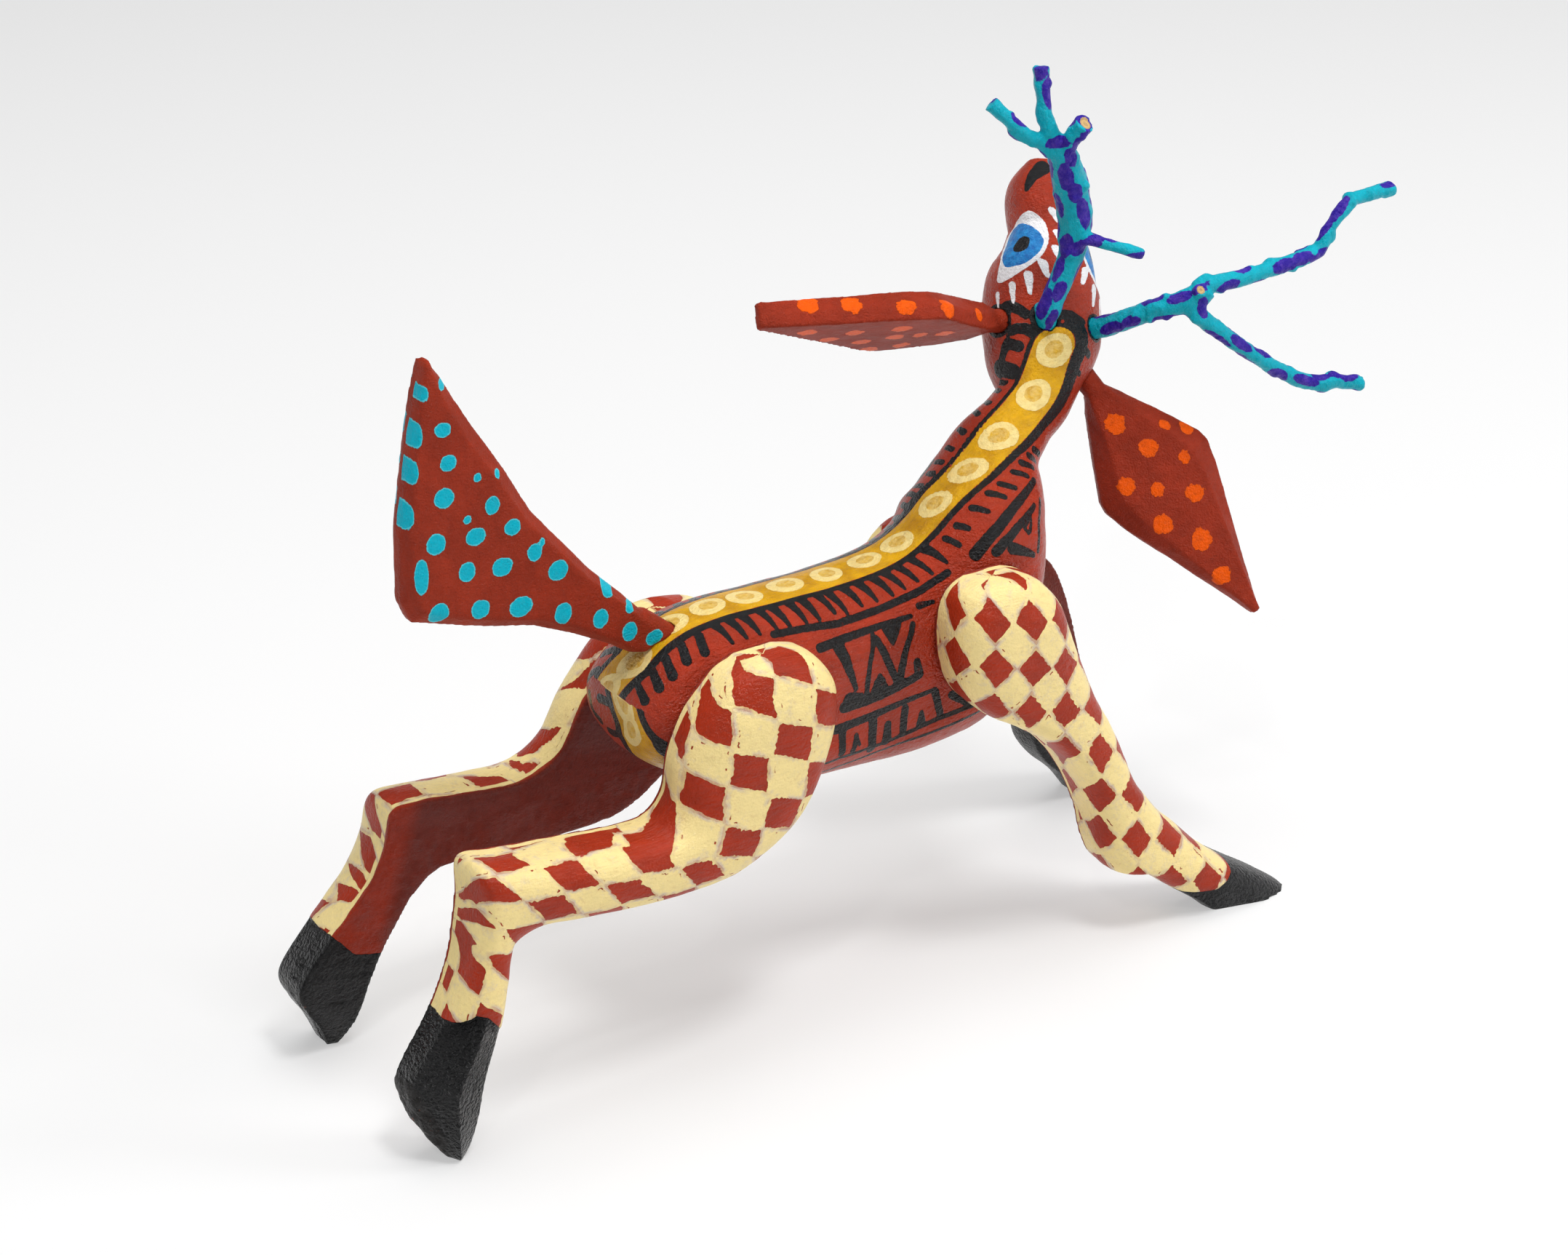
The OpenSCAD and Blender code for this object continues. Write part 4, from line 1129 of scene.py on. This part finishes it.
def make_leg(node, seed):
    """A leg, laid back onto its loft except on its inner face and its sole."""
    stations, splay, sign = LEGS[node]
    skin, y0, y1 = leg_loft(stations, splay, sign)
    mesh, p, edges = detail_mesh(node, 0.68)
    p = relax(p, edges, 4)
    loc, dist, u, v, ring = skin.find(p)
    lo, hi = at_ring(y0, ring), at_ring(y1, ring)
    inner = sign * p[:, 1] - FLAT_Y - lo < 0.3
    free = (dist < 0.5) & (p[:, 2] > 0.6) & ~inner
    p = np.where(free[:, None], loc, p)
    p = relax(p, edges, 2)
    hoof = hoof_field(node, p)
    p = cut_hoof(node, p, skin, ring, sign, lo, hi, np.clip(0.2 - hoof / 1.5, 0, 1))
    p = relax(p, edges, 1)
    height = np.clip((sign * p[:, 1] - FLAT_Y - lo) / LEG_T, -0.2, 1.2)
    n = normals_of(mesh, p)
    sole = np.zeros(len(p))
    if node in SOLES:
        *way, reach = SOLES[node]
        sole = np.clip((p @ np.array(way) - reach) / 1.2, 0, 1)
    bump = bumps(p, (0.18, 9.0, seed), (0.07, 3.2, seed + 1), (0.03, 1.3, seed + 2))
    bare = bumps(p, (0.35, 3.0, seed + 3), (0.25, 1.5, seed + 4))
    bump = np.where(hoof < 0, 0.4 * bump, bump) + sole * bare
    hold = np.clip(p[:, 2] / 1.5, 0, 1) * np.where(inner & (p[:, 2] > 55), 0.0, 1.0)
    p = p + n * (bump * hold)[:, None]
    p[:, 2] = np.maximum(p[:, 2], 0.0)
    glossy, grid, start = LEG_LOOK[node]
    flat = unrolled(skin, v, ring)
    g = check_grid(flat, u, grid, np.array(start), skin)
    # below the hock of the left rear leg the red runs on over the back part of the inner face
    strip = np.zeros(len(p))
    if node == "leg_rear_left":
        edge = np.interp(p[:, 2], [30, 46, 63], [-99.5, -95, -89.5])
        strip = np.clip((edge - p[:, 0]) / 5, 0, 0.8) * np.clip((72 - p[:, 2]) / 6, 0, 1)
    fields = {
        "strip": strip, "row": g[:, 0] * CHECK, "column": g[:, 1] * CHECK,
        "height": height, "hoof": hoof, "sole": sole,
    }
    finish_mesh(node, mesh, p, leg_paint("painted_" + node, glossy), fields)


for seed, node in enumerate(LEGS):
    make_leg(node, 20 + 5 * seed)


# ------------------------------------------------------------------ tail and ears
TAIL_DOTS = [
    (-92, 177, 1.3), (-97, 176, 1.5), (-93, 167, 1.9), (-99.5, 167, 2.3), (-92, 159, 2.1),
    (-100.8, 158.5, 2.1), (-85, 154, 1.1), (-79.5, 153.5, 1.0), (-93.5, 151, 2.5), (-102.5, 148.5, 2.3),
    (-88, 144.5, 1.1), (-81.5, 146.5, 2.1), (-86, 140, 2.4), (-76.5, 140, 2.1), (-96, 140.5, 2.5),
    (-71, 132.5, 2.1), (-79.5, 131, 2.5), (-88.5, 132, 2.3), (-65, 126.5, 2.6), (-100, 133.5, 2.8),
    (-96, 123.5, 2.6), (-85.5, 122, 2.4), (-75, 120, 2.8), (-64, 115.5, 2.5), (-51.5, 118.5, 2.2),
    (-54, 111.5, 2.3), (-45.5, 112, 1.5), (-46, 106, 2.3), (-39, 102.5, 2.2), (-69, 134.5, 0.9),
]


def spotted_paint(name, spot, rim, soft, grain, ragged=0.28):
    """Red wood with dots of one colour."""
    m = Nodes(name)
    ground = brush_red(m, srgb(152, 48, 26), grain)
    d = m.add(m.signed(2.0, ragged, 2), m.signed(0.5, 0.10, 1), m.field("dots"))
    dots = m.inside(d)
    edge = m.inside(m.sub(m.math("ABSOLUTE", m.add(d, 0.15)), 0.12))
    c_dot = m.over(m.shade(spot, 0.94, 1.05, m.noise(1.6, 3, 0.7)), rim, m.mul(edge, 0.55))
    cover = m.ramp(m.noise(1.5, 3, 0.75), 0.28, 0.52, soft, 1.0)
    c = m.over(ground, c_dot, m.mul(dots, cover))
    rough = m.over_value(m.ramp(m.noise(4, 3, 0.6), 0.3, 0.7, 0.46, 0.6), 0.40, dots)
    grain_height = wood_height(m, grain, 0.7, 0.45, 0.7)
    height = m.add(grain_height, m.mul(dots, 0.07), m.mul(m.noise(1.6, 3.0, 0.7), 0.12))
    return m.finish(c, rough, height, coat=0.18, coat_rough=0.16, specular=0.06)


def board_mesh(node, voxel, rounds, seed, dots, paint):
    """A sawn board piece: flat faces, edges only just rounded."""
    mesh, p, edges = detail_mesh(node, voxel)
    p = relax(p, edges, rounds)
    n = normals_of(mesh, p)
    bump = bumps(p, (0.10, 7.0, seed), (0.06, 2.2, seed + 1), (0.04, 1.0, seed + 2))
    p = p + n * bump[:, None]
    finish_mesh(node, mesh, p, paint, {"dots": dots(p)})


def tail_dots(p):
    """The listed dots on the near face; the same ones, shifted a little, on the far face."""
    rng = np.random.default_rng(5)
    out = np.full(len(p), FAR)
    for x, z, r in TAIL_DOTS:
        squash = rng.uniform(0.9, 1.1) * (1.4 if x < -96 and z > 130 else 1)
        d = np.hypot((p[:, 0] - x) * squash, (p[:, 2] - z) / squash) - r
        out = np.minimum(out, np.where(p[:, 1] < 0.6, d, FAR))
        dx, dz = p[:, 0] - x - 1.5 + rng.uniform(-1, 1), p[:, 2] - z - 2.0 + rng.uniform(-1, 1)
        d = np.hypot(dx, dz) - r * rng.uniform(0.9, 1.1)
        out = np.minimum(out, np.where(p[:, 1] > 1.8, d, FAR))
    return out


EAR_RIGHT_DOTS = [
    (103.5, 3.5, 122, 2.7), (109.5, -2.5, 116, 2.4), (115, -2, 121, 1.7), (121, -3.5, 119.5, 2.1),
    (117, -8, 113.5, 1.6), (103, -2.5, 107, 2.4), (110, -6.5, 106, 1.9), (118, -11.5, 105, 2.4),
    (109.5, -9.5, 97.5, 2.7), (117.5, -15.5, 93.5, 2.8), (120.5, -20.5, 84.5, 2.5),
]
EAR_LEFT_DOTS = [
    (22.5, 23, 164.5, 2.7), (32.5, 19, 163.5, 2.7), (44.5, 13, 163, 2.5), (55.5, 10.5, 161, 2.6),
    (69, 16, 154.5, 1.9), (23.5, 24.5, 156.5, 2.5), (32.5, 28.5, 151.5, 2.4), (36, 22.5, 154.5, 2.4),
    (42.5, 29, 149, 2.4), (46.5, 17.5, 155, 2.5), (49, 23.5, 150.5, 2.3), (55, 21.5, 150.5, 2.0),
    (48.5, 34, 144.5, 2.4), (55.5, 30, 145, 2.3), (61, 19.5, 150, 2.4), (52, 39, 147, 2.4),
    (60, 36, 143.5, 2.2), (30, 34, 153, 2.0), (38, 38, 150, 2.2),
]
# which side of an ear is its bare face
EAR_BARE = {"ear_left": 1, "ear_right": -1}
# for each ear the way out along it, the way across it, and its dots
EARS = {
    "ear_left": ((-0.97, 0.04, 0.205), (0.05, -0.85, 0.52), EAR_LEFT_DOTS),
    "ear_right": ((0.37, -0.52, -0.77), (0.80, -0.24, 0.52), EAR_RIGHT_DOTS),
}
# dots on the face of an ear that the lists above leave bare: out along the ear, across it, radius
FAR_FACE_DOTS = [
    (15, 2, 2.3), (24, -7, 2.6), (25, 6, 2.4), (34, 0, 2.7), (36, -9, 1.8), (43, 5, 2.1), (46, -4, 2.3),
    (55, 1, 2.2), (64, -0.5, 1.6),
]


def ear_dots(node):
    """The function that measures the distance from points to the dots of an ear."""
    out_dir, across, dots = EARS[node]
    ux = unit(np.array(out_dir))
    uz = unit(np.cross(ux, np.array(across)))
    uy = np.cross(uz, ux)

    def field(p):
        d = dot_field(p, dots)
        q = p - np.array(SOCKETS[node])
        x, y, z = q @ ux, q @ uy, q @ uz
        for a, b, r in FAR_FACE_DOTS:
            d = np.minimum(d, np.where(z * EAR_BARE[node] > 1.5, np.hypot(x - a, y - b) - r, FAR))
        return d

    return field


tail_look = spotted_paint("painted_tail", AQUA, srgb(120, 226, 232), 0.97, (0.4, 1, 0.22))
board_mesh("tail", 0.7, 3, 41, tail_dots, tail_look)
ear_look = spotted_paint("painted_ears", ORANGE, srgb(222, 84, 10), 0.72, (0.35, 0.7, 0.5), 0.95)
board_mesh("ear_left", 0.6, 2, 51, ear_dots("ear_left"), ear_look)
board_mesh("ear_right", 0.6, 2, 61, ear_dots("ear_right"), ear_look)


# ------------------------------------------------------------------ antlers
# the saw-cut tip of each antler: middle and radius
CUT_ENDS = {"antler_left": (88.6, 0.2, 205.0, 2.1), "antler_right": (114.6, -14.2, 161.1, 1.3)}


def twig_paint():
    """Aqua with long purple spots, dark bark showing through and bare wood at the cut end."""
    m = Nodes("painted_twigs")
    base = m.shade(TWIG_AQUA, 0.9, 1.1, m.noise(2.0, 3, 0.65))
    blot = m.inside(m.add(m.signed(1.8, 0.35, 2), m.signed(0.5, 0.08, 1), m.field("spots")), 0.08)
    c = m.over(base, m.over(PURPLE, srgb(92, 60, 178), m.ramp(m.noise(1.8, 3, 0.7), 0.45, 0.8)), blot)
    bark = m.ramp(m.noise(0.9, 3, 0.7, w=1.2), 0.70, 0.74)
    c = m.over(c, srgb(40, 84, 70), m.mul(bark, 0.7))
    cut = m.inside(m.add(m.field("cut"), m.signed(0.6, 0.12, 1)))
    rings = m.ramp(m.math("SINE", m.mul(m.field("cut"), 14.0)), -1, 1, 0.35, 0.65)
    c = m.over(c, m.shade(WOOD, 0.6, 1.1, rings), cut)
    rough = m.over_value(m.ramp(m.noise(3, 3, 0.6), 0.3, 0.7, 0.30, 0.45), 0.6, cut)
    height = m.add(m.mul(m.noise(1.3, 3, 0.6), 0.25), m.mul(m.noise(0.4, 2, 0.6), 0.06))
    return m.finish(c, rough, height, coat=0.3, coat_rough=0.12, specular=0.08)


def long_spots(p, seed):
    """Long spots scattered over the twigs, each lying along its own twig."""
    rng = np.random.default_rng(seed)
    centres = []
    for i in rng.permutation(len(p))[:5000]:
        if all(np.linalg.norm(p[i] - c) > 4.9 for c in centres):
            centres.append(p[i])
    out = np.full(len(p), FAR)
    for c in centres:
        near = np.linalg.norm(p - c, axis=1) < 8
        q = p[near] - c
        axis = np.linalg.svd(q - q.mean(0), full_matrices=False)[2][0]
        a, b = rng.uniform(2.6, 4.8), rng.uniform(1.4, 2.1)
        along = q @ axis
        around = np.linalg.norm(q - along[:, None] * axis, axis=1)
        out[near] = np.minimum(out[near], (np.hypot(along / a, around / b) - 1) * b)
    return out


# the way that each antler leaves its socket
TWIG_WAY = {"antler_left": (-0.36, -0.42, 0.83), "antler_right": (0.34, -0.88, 0.32)}
twig_look = twig_paint()
for seed, node in enumerate(("antler_left", "antler_right")):
    mesh, p, edges = detail_mesh(node, 0.36)
    p = relax(p, edges, 6)
    n = normals_of(mesh, p)
    knots = np.maximum(value_noise(p, 3.0, 80 + seed) - 0.22, 0) * 1.3
    bump = knots + 0.18 * value_noise(p, 2.0, 83 + seed) + 0.05 * value_noise(p, 0.8, 86 + seed)
    # the peg stays as turned
    out = np.clip(((p - SOCKETS[node]) @ unit(np.array(TWIG_WAY[node])) - 1.0) / 3.0, 0, 1)
    p = p + n * (bump * out)[:, None]
    fields = {"cut": dot_field(p, [CUT_ENDS[node]]), "spots": long_spots(p, 90 + seed)}
    finish_mesh(node, mesh, p, twig_look, fields)


# ------------------------------------------------------------------ wire pins, hidden in the wood
def wire():
    m = Nodes("drawn_wire")
    drawn = m.noise(0.3, 3, 0.6, vector=m.stretched(1, 0.05, 1))
    c = m.shade(srgb(150, 152, 156), 0.8, 1.15, drawn)
    mat = m.finish(c, m.ramp(drawn, 0.3, 0.7, 0.28, 0.42), m.mul(drawn, 0.02), coat=0.0)
    mat.node_tree.nodes["Principled BSDF"].inputs["Metallic"].default_value = 1.0
    return mat


steel = wire()
for name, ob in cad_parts.items():
    if name.startswith("pin_"):
        for s in ob.material_slots:
            s.material = steel
